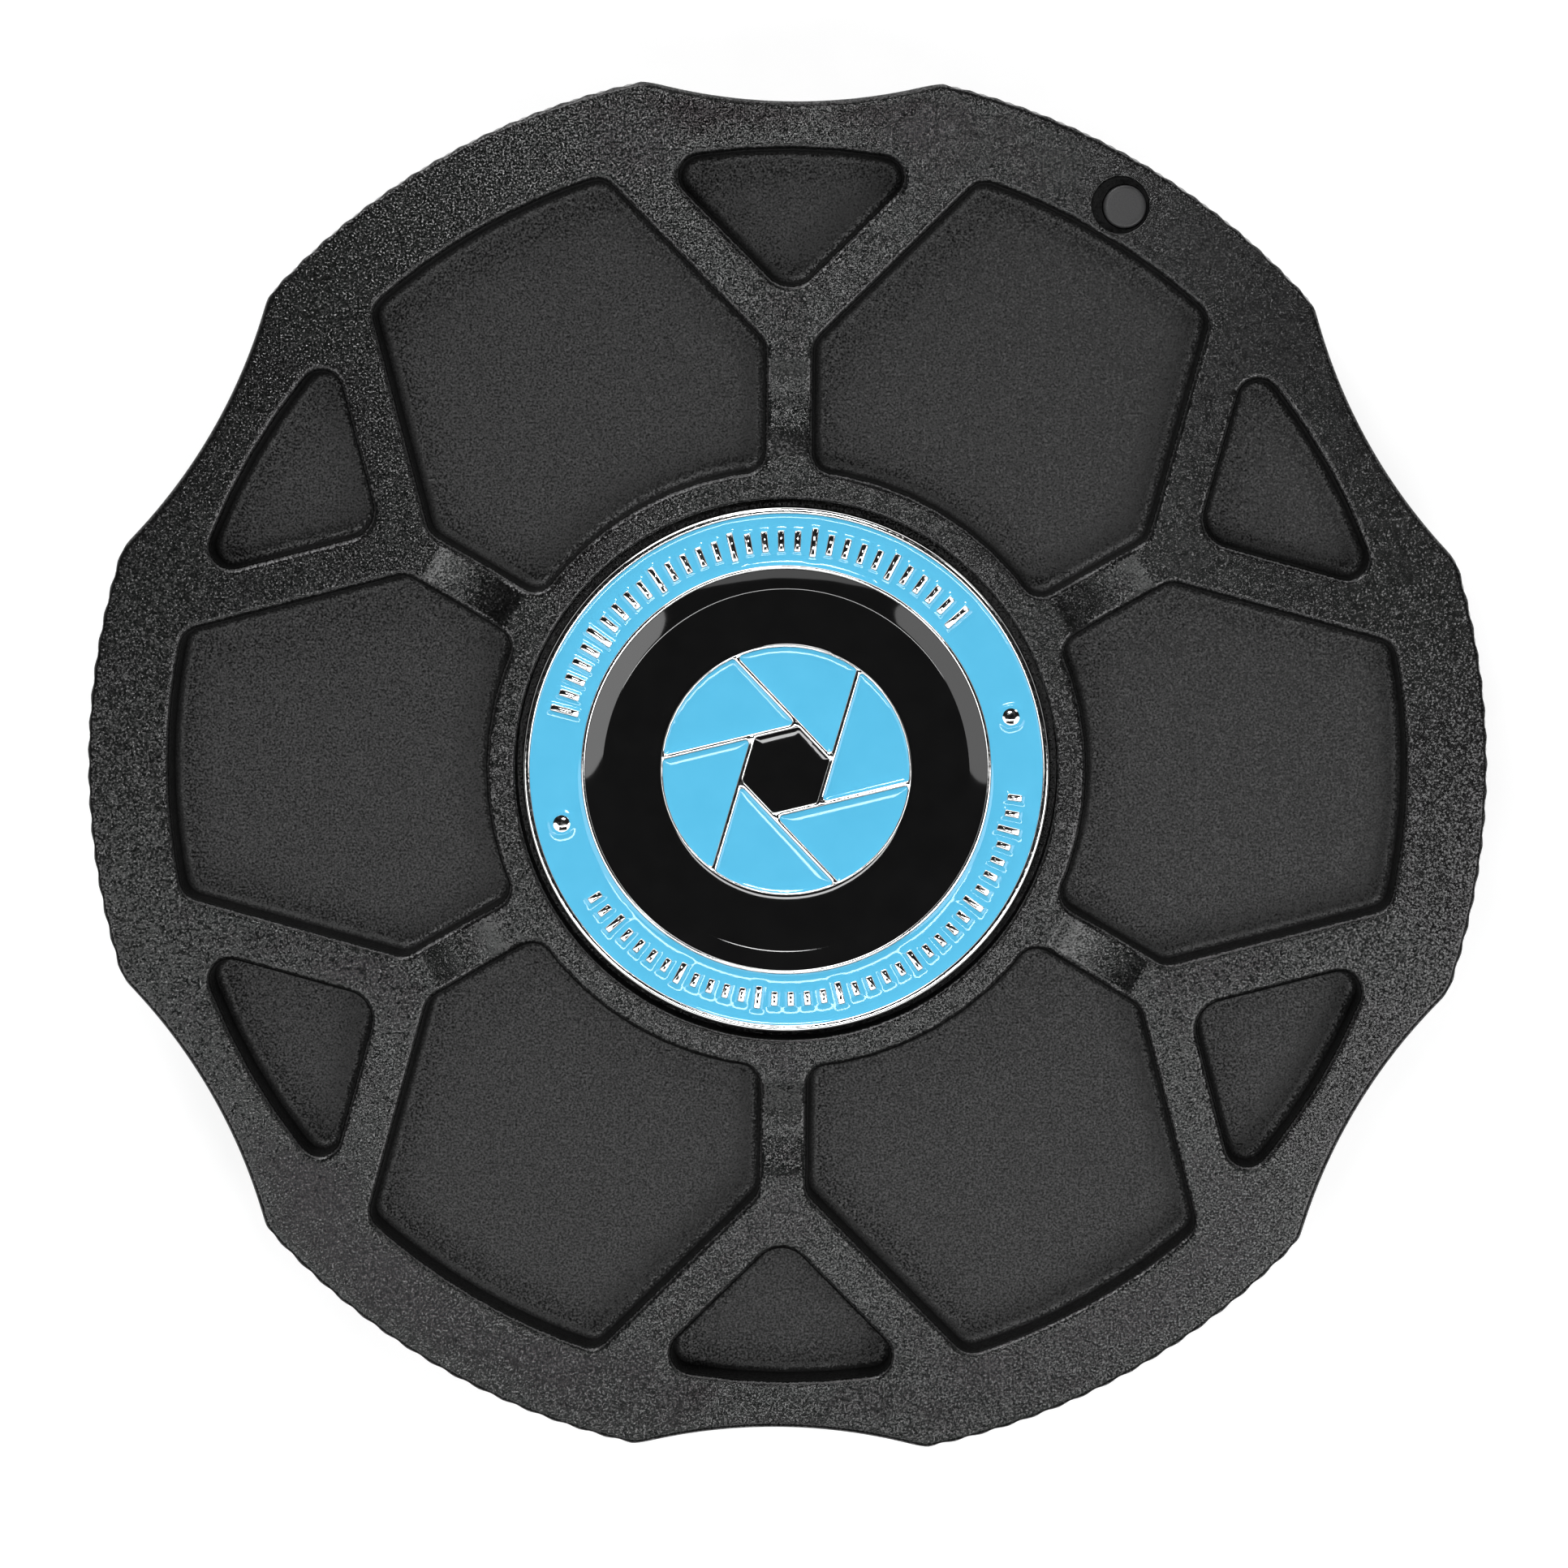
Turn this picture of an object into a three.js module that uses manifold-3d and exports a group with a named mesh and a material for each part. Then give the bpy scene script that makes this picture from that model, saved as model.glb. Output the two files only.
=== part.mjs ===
// A metal body cap for a camera's three-lug bayonet lens mount. The scalloped face plate has six large
// and six small pockets with Y-shaped ribs between them, an index pin and an enamelled badge. The
// bayonet ring is a separate part, held to the back of the face plate by six countersunk screws.
// Millimetres, +Z towards the front. The origin is the centre of the barrel's rear end, and the
// index pin stands 60 degrees anticlockwise from +X.
import * as THREE from "three";
import { mergeVertices } from "three/addons/utils/BufferGeometryUtils.js";
import Module from "manifold-3d";

const wasm = await Module();
wasm.setup();

// ---- Driving dimensions ----
const TURN = 2 * Math.PI;
const CLEARANCE = 0.04; // between pieces that are seated in each other
const OVERCUT = 1; // how far a cutter runs past the face that it opens

const RIBS = 6;
const RIB_STEP = TURN / RIBS;
const FIRST_RIB = TURN / 12;

// Heights
const SEAT_Z = 5; // rear face of the face plate, which meets the camera's mount
const FRONT_Z = 11.5;

// Face plate
const RIM_RADIUS = 34;
const RIM_CHAMFER = 0.3;
const SCALLOP_RADIUS = 27.1;
const SCALLOP_DISTANCE = 59.4; // from the cap's axis to a scallop's own axis
const SCALLOP_STEPS = 10;
const ARC_STEPS = 8;

// Pockets and ribs
const POCKET_DEPTH = 2.8;
const POCKET_OUTER_RADIUS = 30;
const POCKET_HUB_RADIUS = 14.6;
const POCKET_CORNER = 1;
const TRIANGLE_TIP = 1.4;
const RIB_WIDTH = 2.38;
const FORK_RADIUS = 20.7; // where a rib's sides turn 45 degrees into the arms of its Y
const CORNER_STEPS = 3;

// Annular groove across the ribs, a circular arc in section
const GROOVE_RADIUS = 17.6;
const GROOVE_WIDTH = 4.6;
const GROOVE_DEPTH = 0.45;
const GROOVE_STEPS = 6;

// Back of the face plate
const REGISTER_RADIUS = 27.25; // counterbore that centres the bayonet ring
const REGISTER_DEPTH = 1.5;
const HOLLOW_RADIUS = 19;
const HOLLOW_Z = 7.7; // floor of the weight-saving hollow

// Index pin
const PIN_DISTANCE = 31.74; // from the cap's axis
const PIN_ANGLE = (TURN * 59.6) / 360;
const PIN_RADIUS = 1.05;
const PIN_CHAMFER = 0.12;
const PIN_LENGTH = 2.6;
const PIN_RECESS_DISTANCE = 31.7; // the pin stands a little off the middle of its recess
const PIN_RECESS_ANGLE = TURN / 6;
const PIN_RECESS_RADIUS = 1.38;
const PIN_RECESS_DEPTH = 0.9;
const PIN_TOP_Z = FRONT_Z - 0.02;

// Badge: an inch-wide struck coin with enamel in its cells
const BADGE_TURN = (TURN * 14) / 360;
const BADGE_RADIUS = 12.8;
const BADGE_TOP_Z = FRONT_Z - 0.1;
const BADGE_THICKNESS = 1.65;
const BADGE_EDGE = 0.15;
const BADGE_RECESS_RADIUS = 13.15;
const PAD_RADIUS = 12;
const PAD_THICKNESS = 0.12;
const CELL_DEPTH = 0.5;
const ENAMEL_BELOW_TOP = 0.08;
const RIM_LINE_WIDTH = 0.36;
const RING_LINE = [9.75, 9.97]; // the raised line between the ring and the field
const BEAD_DISTANCE = 11.22;
const BEAD_RADIUS = 0.55;

// Emblem: a six-blade iris
const IRIS_RADIUS = 6.1;
const IRIS_OPENING = 2.3; // from the centre to a corner of the hexagonal opening
const IRIS_LINE = 0.24;
const BLADES = 6;
const BLADE_STEP = TURN / BLADES;

// Bayonet ring
const FLANGE_INNER_RADIUS = 19.4;
const FLANGE_OUTER_RADIUS = REGISTER_RADIUS - CLEARANCE;
const FLANGE_SETBACK = 0.1; // the flange's rear face lies this far inside the seat
const BARREL_INNER_RADIUS = 23.4;
const BARREL_OUTER_RADIUS = 25.3;
const BARREL_CHAMFER = 0.3;
const LUGS = 3;
const LUG_RADIUS = 26.8;
const LUG_SPAN = (TURN * 46) / 360;
const LUG_Z = [0.7, 2];
const LUG_ROOT = 0.6; // how far a lug reaches into the barrel's wall
const LUG_STEPS = 6;

// Screws
const SCREWS = 6;
const SCREW_DISTANCE = 21.5;
const SCREW_HEAD_RADIUS = 1.6;
const SCREW_SHANK_RADIUS = 0.9;
const SCREW_HEAD_HEIGHT = 0.75;
const SCREW_LENGTH = 4.1;
const SCREW_TIP = 0.3;
const DRIVE_WIDTH = 0.42;
const DRIVE_LENGTH = 1.7;
const DRIVE_DEPTH = 0.55;

// Facets round a full turn
const WIDE_FACETS = 72;
const SMALL_FACETS = 16;

const flangeZ = SEAT_Z + FLANGE_SETBACK;
const registerZ = SEAT_Z + REGISTER_DEPTH;
const badgeRearZ = BADGE_TOP_Z - BADGE_THICKNESS;
const cellZ = BADGE_TOP_Z - CELL_DEPTH;
const padZ = badgeRearZ - CLEARANCE - PAD_THICKNESS;
const badgeRecessZ = padZ - CLEARANCE;
const screwRearZ = flangeZ + 0.05;

// ---- Solids ----
// A closed geometry as a solid that can be joined and cut.
function solid(geometry) {
  const bare = geometry.clone();
  bare.deleteAttribute("normal");
  bare.deleteAttribute("uv");
  const merged = mergeVertices(bare, 1e-5);
  return new wasm.Manifold(
    new wasm.Mesh({
      numProp: 3,
      vertProperties: merged.attributes.position.array,
      triVerts: new Uint32Array(merged.index.array),
    }),
  );
}

// The surface of a solid as a geometry with flat facets.
function surface(made) {
  const mesh = made.getMesh();
  const geometry = new THREE.BufferGeometry();
  geometry.setAttribute("position", new THREE.BufferAttribute(mesh.vertProperties, 3));
  geometry.setIndex(new THREE.BufferAttribute(mesh.triVerts, 1));
  const facets = geometry.toNonIndexed();
  facets.computeVertexNormals();
  return facets;
}

// A flat outline raised from one height to another, at an angle about the cap's axis.
function raised(outline, low, high, angle = 0) {
  const geometry = new THREE.ExtrudeGeometry(outline, {
    depth: high - low,
    bevelEnabled: false,
    curveSegments: ARC_STEPS,
  });
  return solid(geometry.translate(0, 0, low).rotateZ(angle));
}

// A section of [radius, height] pairs, turned about an axis parallel to Z.
function turned(section, facets, distance = 0, angle = 0) {
  const points = section.map(([radius, height]) => new THREE.Vector2(radius, height));
  const geometry = new THREE.LatheGeometry(points, facets);
  return solid(geometry.rotateX(TURN / 4).translate(distance, 0, 0).rotateZ(angle));
}

// The section of a plain round bar, from one height to another.
function bar(radius, low, high) {
  return [
    [0, low],
    [radius, low],
    [radius, high],
    [0, high],
  ];
}

// The section of a flat ring.
function band(inner, outer, low, high) {
  return [
    [inner, low],
    [outer, low],
    [outer, high],
    [inner, high],
    [inner, low],
  ];
}

function joined(solids) {
  return solids.reduce((sum, next) => sum.add(next));
}

// ---- Outlines ----
function polar(radius, angle) {
  return new THREE.Vector2(radius * Math.cos(angle), radius * Math.sin(angle));
}

// Points between two angles of a circle, its ends left out.
function arcBetween(radius, from, to, steps) {
  const points = [];
  for (let i = 1; i < steps; i++) {
    points.push({ at: polar(radius, from + ((to - from) * i) / steps), radius: 0 });
  }
  return points;
}

// A closed outline through the given corners. A corner with a radius becomes an arc tangent to its sides.
function roundedOutline(corners) {
  const points = [];
  corners.forEach(({ at, radius }, i) => {
    if (!radius) {
      points.push(at);
      return;
    }
    const before = corners.at(i - 1).at.clone().sub(at).normalize();
    const after = corners[(i + 1) % corners.length].at.clone().sub(at).normalize();
    const half = Math.acos(before.dot(after)) / 2;
    const middle = before.clone().add(after).normalize();
    const centre = at.clone().addScaledVector(middle, radius / Math.sin(half));
    const reach = radius / Math.tan(half);
    const first = at.clone().addScaledVector(before, reach).sub(centre).angle();
    const last = at.clone().addScaledVector(after, reach).sub(centre).angle();
    const sweep = ((last - first + 1.5 * TURN) % TURN) - TURN / 2;
    for (let step = 0; step <= CORNER_STEPS; step++) {
      points.push(polar(radius, first + (sweep * step) / CORNER_STEPS).add(centre));
    }
  });
  return new THREE.Shape(points);
}

// The corner of an arm's 45-degree side with a circle, in the frame of its rib: the side crosses the
// rib's middle line at the given distance, and the corner lies on its positive side.
function armCorner(start, circle) {
  const y = (Math.sqrt(2 * circle ** 2 - start ** 2) - start) / 2;
  return new THREE.Vector2(start + y, y);
}

function mirrored(point) {
  return new THREE.Vector2(point.x, -point.y);
}

function rotated(point, angle) {
  return point.clone().rotateAround(new THREE.Vector2(), angle);
}

// ---- Face plate ----
const ribHalf = RIB_WIDTH / 2;
const armInnerStart = FORK_RADIUS - ribHalf;
const armOuterStart = armInnerStart + RIB_WIDTH * Math.SQRT2;

function plateOutline() {
  const cosine =
    (RIM_RADIUS ** 2 + SCALLOP_DISTANCE ** 2 - SCALLOP_RADIUS ** 2) / (2 * RIM_RADIUS * SCALLOP_DISTANCE);
  const scallopHalf = Math.acos(cosine);
  const cornerY = RIM_RADIUS * Math.sin(scallopHalf);
  const sweep = Math.asin(cornerY / SCALLOP_RADIUS);
  const points = [];
  for (let rib = 0; rib < RIBS; rib++) {
    const middle = FIRST_RIB + rib * RIB_STEP;
    for (let step = 0; step <= SCALLOP_STEPS; step++) {
      const angle = TURN / 2 + sweep - (2 * sweep * step) / SCALLOP_STEPS;
      const local = polar(SCALLOP_RADIUS, angle).add(new THREE.Vector2(SCALLOP_DISTANCE, 0));
      points.push(rotated(local, middle));
    }
    const rimArc = arcBetween(RIM_RADIUS, middle + scallopHalf, middle + RIB_STEP - scallopHalf, ARC_STEPS);
    points.push(...rimArc.map((point) => point.at));
  }
  return new THREE.Shape(points);
}

// The plate's blank, with a chamfer round both edges.
function plateBlank() {
  const geometry = new THREE.ExtrudeGeometry(plateOutline(), {
    depth: FRONT_Z - SEAT_Z - 2 * RIM_CHAMFER,
    bevelThickness: RIM_CHAMFER,
    bevelSize: RIM_CHAMFER,
    bevelOffset: -RIM_CHAMFER,
    bevelSegments: 1,
  });
  return solid(geometry.translate(0, 0, SEAT_Z + RIM_CHAMFER));
}

// A large pocket, between the rib below +X and the rib above it.
function largePocketOutline() {
  const hubAngle = Math.asin(ribHalf / POCKET_HUB_RADIUS);
  const hub = polar(POCKET_HUB_RADIUS, hubAngle);
  const fork = new THREE.Vector2(FORK_RADIUS, ribHalf);
  const outer = armCorner(armInnerStart, POCKET_OUTER_RADIUS);
  const lower = [hub, fork, outer].map((point) => rotated(point, -RIB_STEP / 2));
  const upper = lower.map(mirrored).reverse();
  const corner = (at) => ({ at, radius: POCKET_CORNER });
  return roundedOutline([
    ...lower.map(corner),
    ...arcBetween(POCKET_OUTER_RADIUS, lower[2].angle() - TURN, upper[0].angle(), ARC_STEPS),
    ...upper.map(corner),
    ...arcBetween(POCKET_HUB_RADIUS, upper[2].angle(), lower[0].angle() - TURN, ARC_STEPS),
  ]);
}

// A triangular pocket in the fork of a rib, pointing towards the badge.
function smallPocketOutline() {
  const upper = armCorner(armOuterStart, POCKET_OUTER_RADIUS);
  return roundedOutline([
    { at: new THREE.Vector2(armOuterStart, 0), radius: TRIANGLE_TIP },
    { at: mirrored(upper), radius: POCKET_CORNER },
    ...arcBetween(POCKET_OUTER_RADIUS, -upper.angle(), upper.angle(), ARC_STEPS / 2),
    { at: upper, radius: POCKET_CORNER },
  ]);
}

function grooveSection() {
  const half = GROOVE_WIDTH / 2;
  const bend = (half ** 2 + GROOVE_DEPTH ** 2) / (2 * GROOVE_DEPTH);
  const reach = Math.asin(half / bend);
  const section = [];
  for (let step = 0; step <= GROOVE_STEPS; step++) {
    const angle = -reach + (2 * reach * step) / GROOVE_STEPS;
    const height = FRONT_Z - GROOVE_DEPTH + bend * (1 - Math.cos(angle));
    section.push([GROOVE_RADIUS + bend * Math.sin(angle), height]);
  }
  section.push([GROOVE_RADIUS + half, FRONT_Z + OVERCUT]);
  section.push([GROOVE_RADIUS - half, FRONT_Z + OVERCUT]);
  section.push(section[0]);
  return section;
}

// The space for the bayonet ring, and the hollow inside it.
function rearSection() {
  return [
    [0, SEAT_Z - OVERCUT],
    [REGISTER_RADIUS, SEAT_Z - OVERCUT],
    [REGISTER_RADIUS, registerZ],
    [HOLLOW_RADIUS, registerZ],
    [HOLLOW_RADIUS, HOLLOW_Z],
    [0, HOLLOW_Z],
  ];
}

// A screw's section, grown on every side for the hole that it goes in.
function screwSection(grow = 0) {
  const rear = screwRearZ - (grow ? OVERCUT : 0);
  const neckZ = screwRearZ + SCREW_HEAD_HEIGHT;
  const endZ = screwRearZ + SCREW_LENGTH + grow;
  return [
    [0, rear],
    [SCREW_HEAD_RADIUS + grow, rear],
    [SCREW_HEAD_RADIUS + grow, screwRearZ],
    [SCREW_SHANK_RADIUS + grow, neckZ],
    [SCREW_SHANK_RADIUS + grow, endZ - SCREW_TIP],
    [SCREW_SHANK_RADIUS + grow - SCREW_TIP, endZ],
    [0, endZ],
  ];
}

function screwAngle(index) {
  return FIRST_RIB + (TURN * index) / SCREWS;
}

function screwHoles() {
  const holes = [];
  for (let screw = 0; screw < SCREWS; screw++) {
    holes.push(turned(screwSection(CLEARANCE), SMALL_FACETS, SCREW_DISTANCE, screwAngle(screw)));
  }
  return joined(holes);
}

function facePlate() {
  const floorZ = FRONT_Z - POCKET_DEPTH;
  const topZ = FRONT_Z + OVERCUT;
  const cuts = [];
  for (let rib = 0; rib < RIBS; rib++) {
    const angle = FIRST_RIB + rib * RIB_STEP;
    cuts.push(raised(smallPocketOutline(), floorZ, topZ, angle));
    cuts.push(raised(largePocketOutline(), floorZ, topZ, angle + RIB_STEP / 2));
  }
  cuts.push(turned(grooveSection(), WIDE_FACETS));
  cuts.push(turned(bar(BADGE_RECESS_RADIUS, badgeRecessZ, topZ), WIDE_FACETS));
  cuts.push(turned(rearSection(), WIDE_FACETS));
  cuts.push(screwHoles());
  const recess = bar(PIN_RECESS_RADIUS, FRONT_Z - PIN_RECESS_DEPTH, topZ);
  const bore = bar(PIN_RADIUS + CLEARANCE, PIN_TOP_Z - PIN_LENGTH - CLEARANCE, topZ);
  cuts.push(turned(recess, SMALL_FACETS, PIN_RECESS_DISTANCE, PIN_RECESS_ANGLE));
  cuts.push(turned(bore, SMALL_FACETS, PIN_DISTANCE, PIN_ANGLE));
  return plateBlank().subtract(joined(cuts));
}

function indexPin() {
  const section = [
    [0, PIN_TOP_Z - PIN_LENGTH],
    [PIN_RADIUS, PIN_TOP_Z - PIN_LENGTH],
    [PIN_RADIUS, PIN_TOP_Z - PIN_CHAMFER],
    [PIN_RADIUS - PIN_CHAMFER, PIN_TOP_Z],
    [0, PIN_TOP_Z],
  ];
  return turned(section, SMALL_FACETS, PIN_DISTANCE, PIN_ANGLE);
}

// ---- Bayonet ring ----
function lug(angle) {
  const inner = BARREL_OUTER_RADIUS - LUG_ROOT;
  const outline = new THREE.Shape();
  outline.absarc(0, 0, LUG_RADIUS, -LUG_SPAN / 2, LUG_SPAN / 2, false);
  outline.absarc(0, 0, inner, LUG_SPAN / 2, -LUG_SPAN / 2, true);
  const geometry = new THREE.ExtrudeGeometry(outline, {
    depth: LUG_Z[1] - LUG_Z[0],
    bevelEnabled: false,
    curveSegments: LUG_STEPS,
  });
  return solid(geometry.translate(0, 0, LUG_Z[0]).rotateZ(angle));
}

function bayonetRing() {
  const section = [
    [FLANGE_INNER_RADIUS, flangeZ],
    [BARREL_INNER_RADIUS, flangeZ],
    [BARREL_INNER_RADIUS, BARREL_CHAMFER],
    [BARREL_INNER_RADIUS + BARREL_CHAMFER, 0],
    [BARREL_OUTER_RADIUS - BARREL_CHAMFER, 0],
    [BARREL_OUTER_RADIUS, BARREL_CHAMFER],
    [BARREL_OUTER_RADIUS, flangeZ],
    [FLANGE_OUTER_RADIUS, flangeZ],
    [FLANGE_OUTER_RADIUS, registerZ - CLEARANCE],
    [FLANGE_INNER_RADIUS, registerZ - CLEARANCE],
    [FLANGE_INNER_RADIUS, flangeZ],
  ];
  const lugs = [];
  for (let index = 0; index < LUGS; index++) {
    lugs.push(lug((TURN * index) / LUGS));
  }
  return turned(section, WIDE_FACETS).add(joined(lugs)).subtract(screwHoles());
}

function screw() {
  const slot = new THREE.BoxGeometry(DRIVE_LENGTH, DRIVE_WIDTH, 2 * DRIVE_DEPTH);
  slot.translate(SCREW_DISTANCE, 0, screwRearZ);
  const crossSlot = new THREE.BoxGeometry(DRIVE_WIDTH, DRIVE_LENGTH, 2 * DRIVE_DEPTH);
  crossSlot.translate(SCREW_DISTANCE, 0, screwRearZ);
  const body = turned(screwSection(), SMALL_FACETS, SCREW_DISTANCE);
  return body.subtract(solid(slot).add(solid(crossSlot)));
}

// ---- Badge ----
// Where a straight line, given by a point and a direction, leaves a circle round the origin.
function circleExit(point, direction, radius) {
  const along = point.dot(direction);
  const travel = Math.sqrt(along ** 2 + radius ** 2 - point.lengthSq()) - along;
  return point.clone().addScaledVector(direction, travel);
}

// One cell of the iris: between the line that carries one side of the hexagon out to the circle and
// the next such line. It is drawn in from those lines by the inset.
function bladeOutline(inset) {
  const corners = [0, 1, 2].map((i) => polar(IRIS_OPENING, i * BLADE_STEP));
  const direction = corners[1].clone().sub(corners[0]).normalize();
  const next = corners[2].clone().sub(corners[1]).normalize();
  const inward = new THREE.Vector2(-direction.y, direction.x);
  const nextOutward = new THREE.Vector2(next.y, -next.x);
  const side = corners[1].clone().addScaledVector(inward, inset);
  const nextSide = corners[1].clone().addScaledVector(nextOutward, inset);
  const cross = direction.x * next.y - direction.y * next.x;
  const gap = nextSide.clone().sub(side);
  const travel = (gap.x * next.y - gap.y * next.x) / cross;
  const root = side.clone().addScaledVector(direction, travel);
  const tip = circleExit(side, direction, IRIS_RADIUS - inset);
  const nextTip = circleExit(nextSide, next, IRIS_RADIUS - inset);
  return new THREE.Shape([
    root,
    nextTip,
    ...arcBetween(IRIS_RADIUS - inset, nextTip.angle(), tip.angle(), CORNER_STEPS).map((point) => point.at),
    tip,
  ]);
}

function openingOutline(inset) {
  const points = [];
  for (let i = 0; i < BLADES; i++) {
    points.push(polar(IRIS_OPENING - inset / Math.cos(BLADE_STEP / 2), i * BLADE_STEP));
  }
  return new THREE.Shape(points);
}

// Two round columns, one on each side of the badge, which keep their metal in the ring's cell.
function beadColumns(grow) {
  const section = bar(BEAD_RADIUS + grow, cellZ - OVERCUT, BADGE_TOP_Z + 2 * OVERCUT);
  const right = turned(section, SMALL_FACETS, BEAD_DISTANCE);
  return right.add(turned(section, SMALL_FACETS, BEAD_DISTANCE, TURN / 2));
}

const lineHalf = IRIS_LINE / 2;
const rimLineRadius = BADGE_RADIUS - RIM_LINE_WIDTH;

function badgeBase() {
  const blank = turned(
    [
      [0, badgeRearZ],
      [BADGE_RADIUS - BADGE_EDGE, badgeRearZ],
      [BADGE_RADIUS, badgeRearZ + BADGE_EDGE],
      [BADGE_RADIUS, BADGE_TOP_Z - BADGE_EDGE],
      [BADGE_RADIUS - BADGE_EDGE, BADGE_TOP_Z],
      [0, BADGE_TOP_Z],
    ],
    WIDE_FACETS,
  );
  const topZ = BADGE_TOP_Z + OVERCUT;
  const ringCell = turned(band(RING_LINE[1], rimLineRadius, cellZ, topZ), WIDE_FACETS);
  const cells = [ringCell.subtract(beadColumns(0))];
  cells.push(turned(band(IRIS_RADIUS, RING_LINE[0], cellZ, topZ), WIDE_FACETS));
  for (let blade = 0; blade < BLADES; blade++) {
    cells.push(raised(bladeOutline(lineHalf), cellZ, topZ, blade * BLADE_STEP));
  }
  cells.push(raised(openingOutline(lineHalf), cellZ, topZ));
  return blank.subtract(joined(cells));
}

const enamelLowZ = cellZ + CLEARANCE;
const enamelTopZ = BADGE_TOP_Z - ENAMEL_BELOW_TOP;

function ringEnamel() {
  const section = band(RING_LINE[1] + CLEARANCE, rimLineRadius - CLEARANCE, enamelLowZ, enamelTopZ);
  return turned(section, WIDE_FACETS).subtract(beadColumns(CLEARANCE));
}

function fieldEnamel() {
  return turned(band(IRIS_RADIUS + CLEARANCE, RING_LINE[0] - CLEARANCE, enamelLowZ, enamelTopZ), WIDE_FACETS);
}

// ---- Materials ----
const anodised = new THREE.MeshStandardMaterial({ color: 0x232324, roughness: 0.5, metalness: 0.6 });
const machined = new THREE.MeshStandardMaterial({ color: 0x2c2c2d, roughness: 0.35, metalness: 0.7 });
const chrome = new THREE.MeshStandardMaterial({ color: 0xdfe2e4, roughness: 0.1, metalness: 1 });
const steel = new THREE.MeshStandardMaterial({ color: 0xb4b6b8, roughness: 0.3, metalness: 1 });
const blueEnamel = new THREE.MeshStandardMaterial({ color: 0x6cc4ec, roughness: 0.12 });
const blackEnamel = new THREE.MeshStandardMaterial({ color: 0x0e0e0f, roughness: 0.08 });
const adhesive = new THREE.MeshStandardMaterial({ color: 0xd9d6cc, roughness: 0.8 });

// ---- Assembly ----
const cap = new THREE.Group();
const badge = new THREE.Group();
badge.rotation.z = BADGE_TURN;
cap.add(badge);

function piece(group, name, made, material, angle = 0) {
  const mesh = new THREE.Mesh(surface(made), material);
  mesh.name = name;
  mesh.rotation.z = angle;
  group.add(mesh);
}

piece(cap, "face_plate", facePlate(), anodised);
piece(cap, "index_pin", indexPin(), anodised);
piece(cap, "bayonet_ring", bayonetRing(), machined);
const screwSolid = screw();
for (let index = 0; index < SCREWS; index++) {
  piece(cap, `bayonet_screw_${index + 1}`, screwSolid, steel, screwAngle(index));
}

const pad = turned(bar(PAD_RADIUS, padZ, padZ + PAD_THICKNESS), WIDE_FACETS);
piece(badge, "badge_adhesive_pad", pad, adhesive);
piece(badge, "badge_base", badgeBase(), chrome);
piece(badge, "badge_ring_enamel", ringEnamel(), blueEnamel);
piece(badge, "badge_field_enamel", fieldEnamel(), blackEnamel);
const opening = raised(openingOutline(lineHalf + CLEARANCE), enamelLowZ, enamelTopZ);
piece(badge, "iris_centre_enamel", opening, blackEnamel);
const bladeSolid = raised(bladeOutline(lineHalf + CLEARANCE), enamelLowZ, enamelTopZ);
for (let blade = 0; blade < BLADES; blade++) {
  piece(badge, `iris_blade_enamel_${blade + 1}`, bladeSolid, blueEnamel, blade * BLADE_STEP);
}

export default cap;
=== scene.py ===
"""A black anodised camera body cap, face up on a pale floor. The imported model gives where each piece
is; this script remakes the pieces with their fine surface: knurl, edge breaks, groove and enamel."""

import math

import bpy
import numpy as np
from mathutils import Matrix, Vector
from mathutils.geometry import delaunay_2d_cdt


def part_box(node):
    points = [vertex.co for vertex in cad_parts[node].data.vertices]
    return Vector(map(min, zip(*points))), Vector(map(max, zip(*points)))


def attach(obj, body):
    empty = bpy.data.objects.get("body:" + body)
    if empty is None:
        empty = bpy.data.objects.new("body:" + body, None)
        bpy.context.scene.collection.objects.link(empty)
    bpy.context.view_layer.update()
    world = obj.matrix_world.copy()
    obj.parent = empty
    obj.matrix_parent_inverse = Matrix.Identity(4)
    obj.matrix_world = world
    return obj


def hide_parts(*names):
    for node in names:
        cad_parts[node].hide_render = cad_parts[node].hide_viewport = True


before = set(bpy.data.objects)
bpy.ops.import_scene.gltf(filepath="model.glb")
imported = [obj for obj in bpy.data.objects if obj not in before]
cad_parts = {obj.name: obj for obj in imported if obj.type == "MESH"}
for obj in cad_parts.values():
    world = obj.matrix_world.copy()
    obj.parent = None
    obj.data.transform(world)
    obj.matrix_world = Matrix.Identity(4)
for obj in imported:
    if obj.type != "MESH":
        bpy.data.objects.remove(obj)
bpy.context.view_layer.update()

# ---- Sizes, in millimetres ----
MM = 0.001
TURN = 2 * math.pi


def box_mm(node):
    """The lowest and highest corners of a CAD node, in millimetres."""
    low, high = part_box(node)
    return low / MM, high / MM


plate_low, plate_high = box_mm("face_plate")
pin_low, pin_high = box_mm("index_pin")
badge_low, badge_high = box_mm("badge_base")
enamel_low, enamel_high = box_mm("badge_ring_enamel")
field_low, field_high = box_mm("badge_field_enamel")
ring_low, ring_high = box_mm("bayonet_ring")
screw_low, screw_high = box_mm("bayonet_screw_1")
pad_low, pad_high = box_mm("badge_adhesive_pad")

CLEARANCE = 0.04  # between pieces that are seated in each other
SEAT_Z = plate_low.z
FRONT_Z = plate_high.z
RIM_RADIUS = plate_high.x
BADGE_RADIUS = badge_high.x
BADGE_TOP_Z = badge_high.z
PIN_RADIUS = (pin_high.x - pin_low.x) / 2
PIN_CENTRE = ((pin_low.x + pin_high.x) / 2, (pin_low.y + pin_high.y) / 2)

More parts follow.
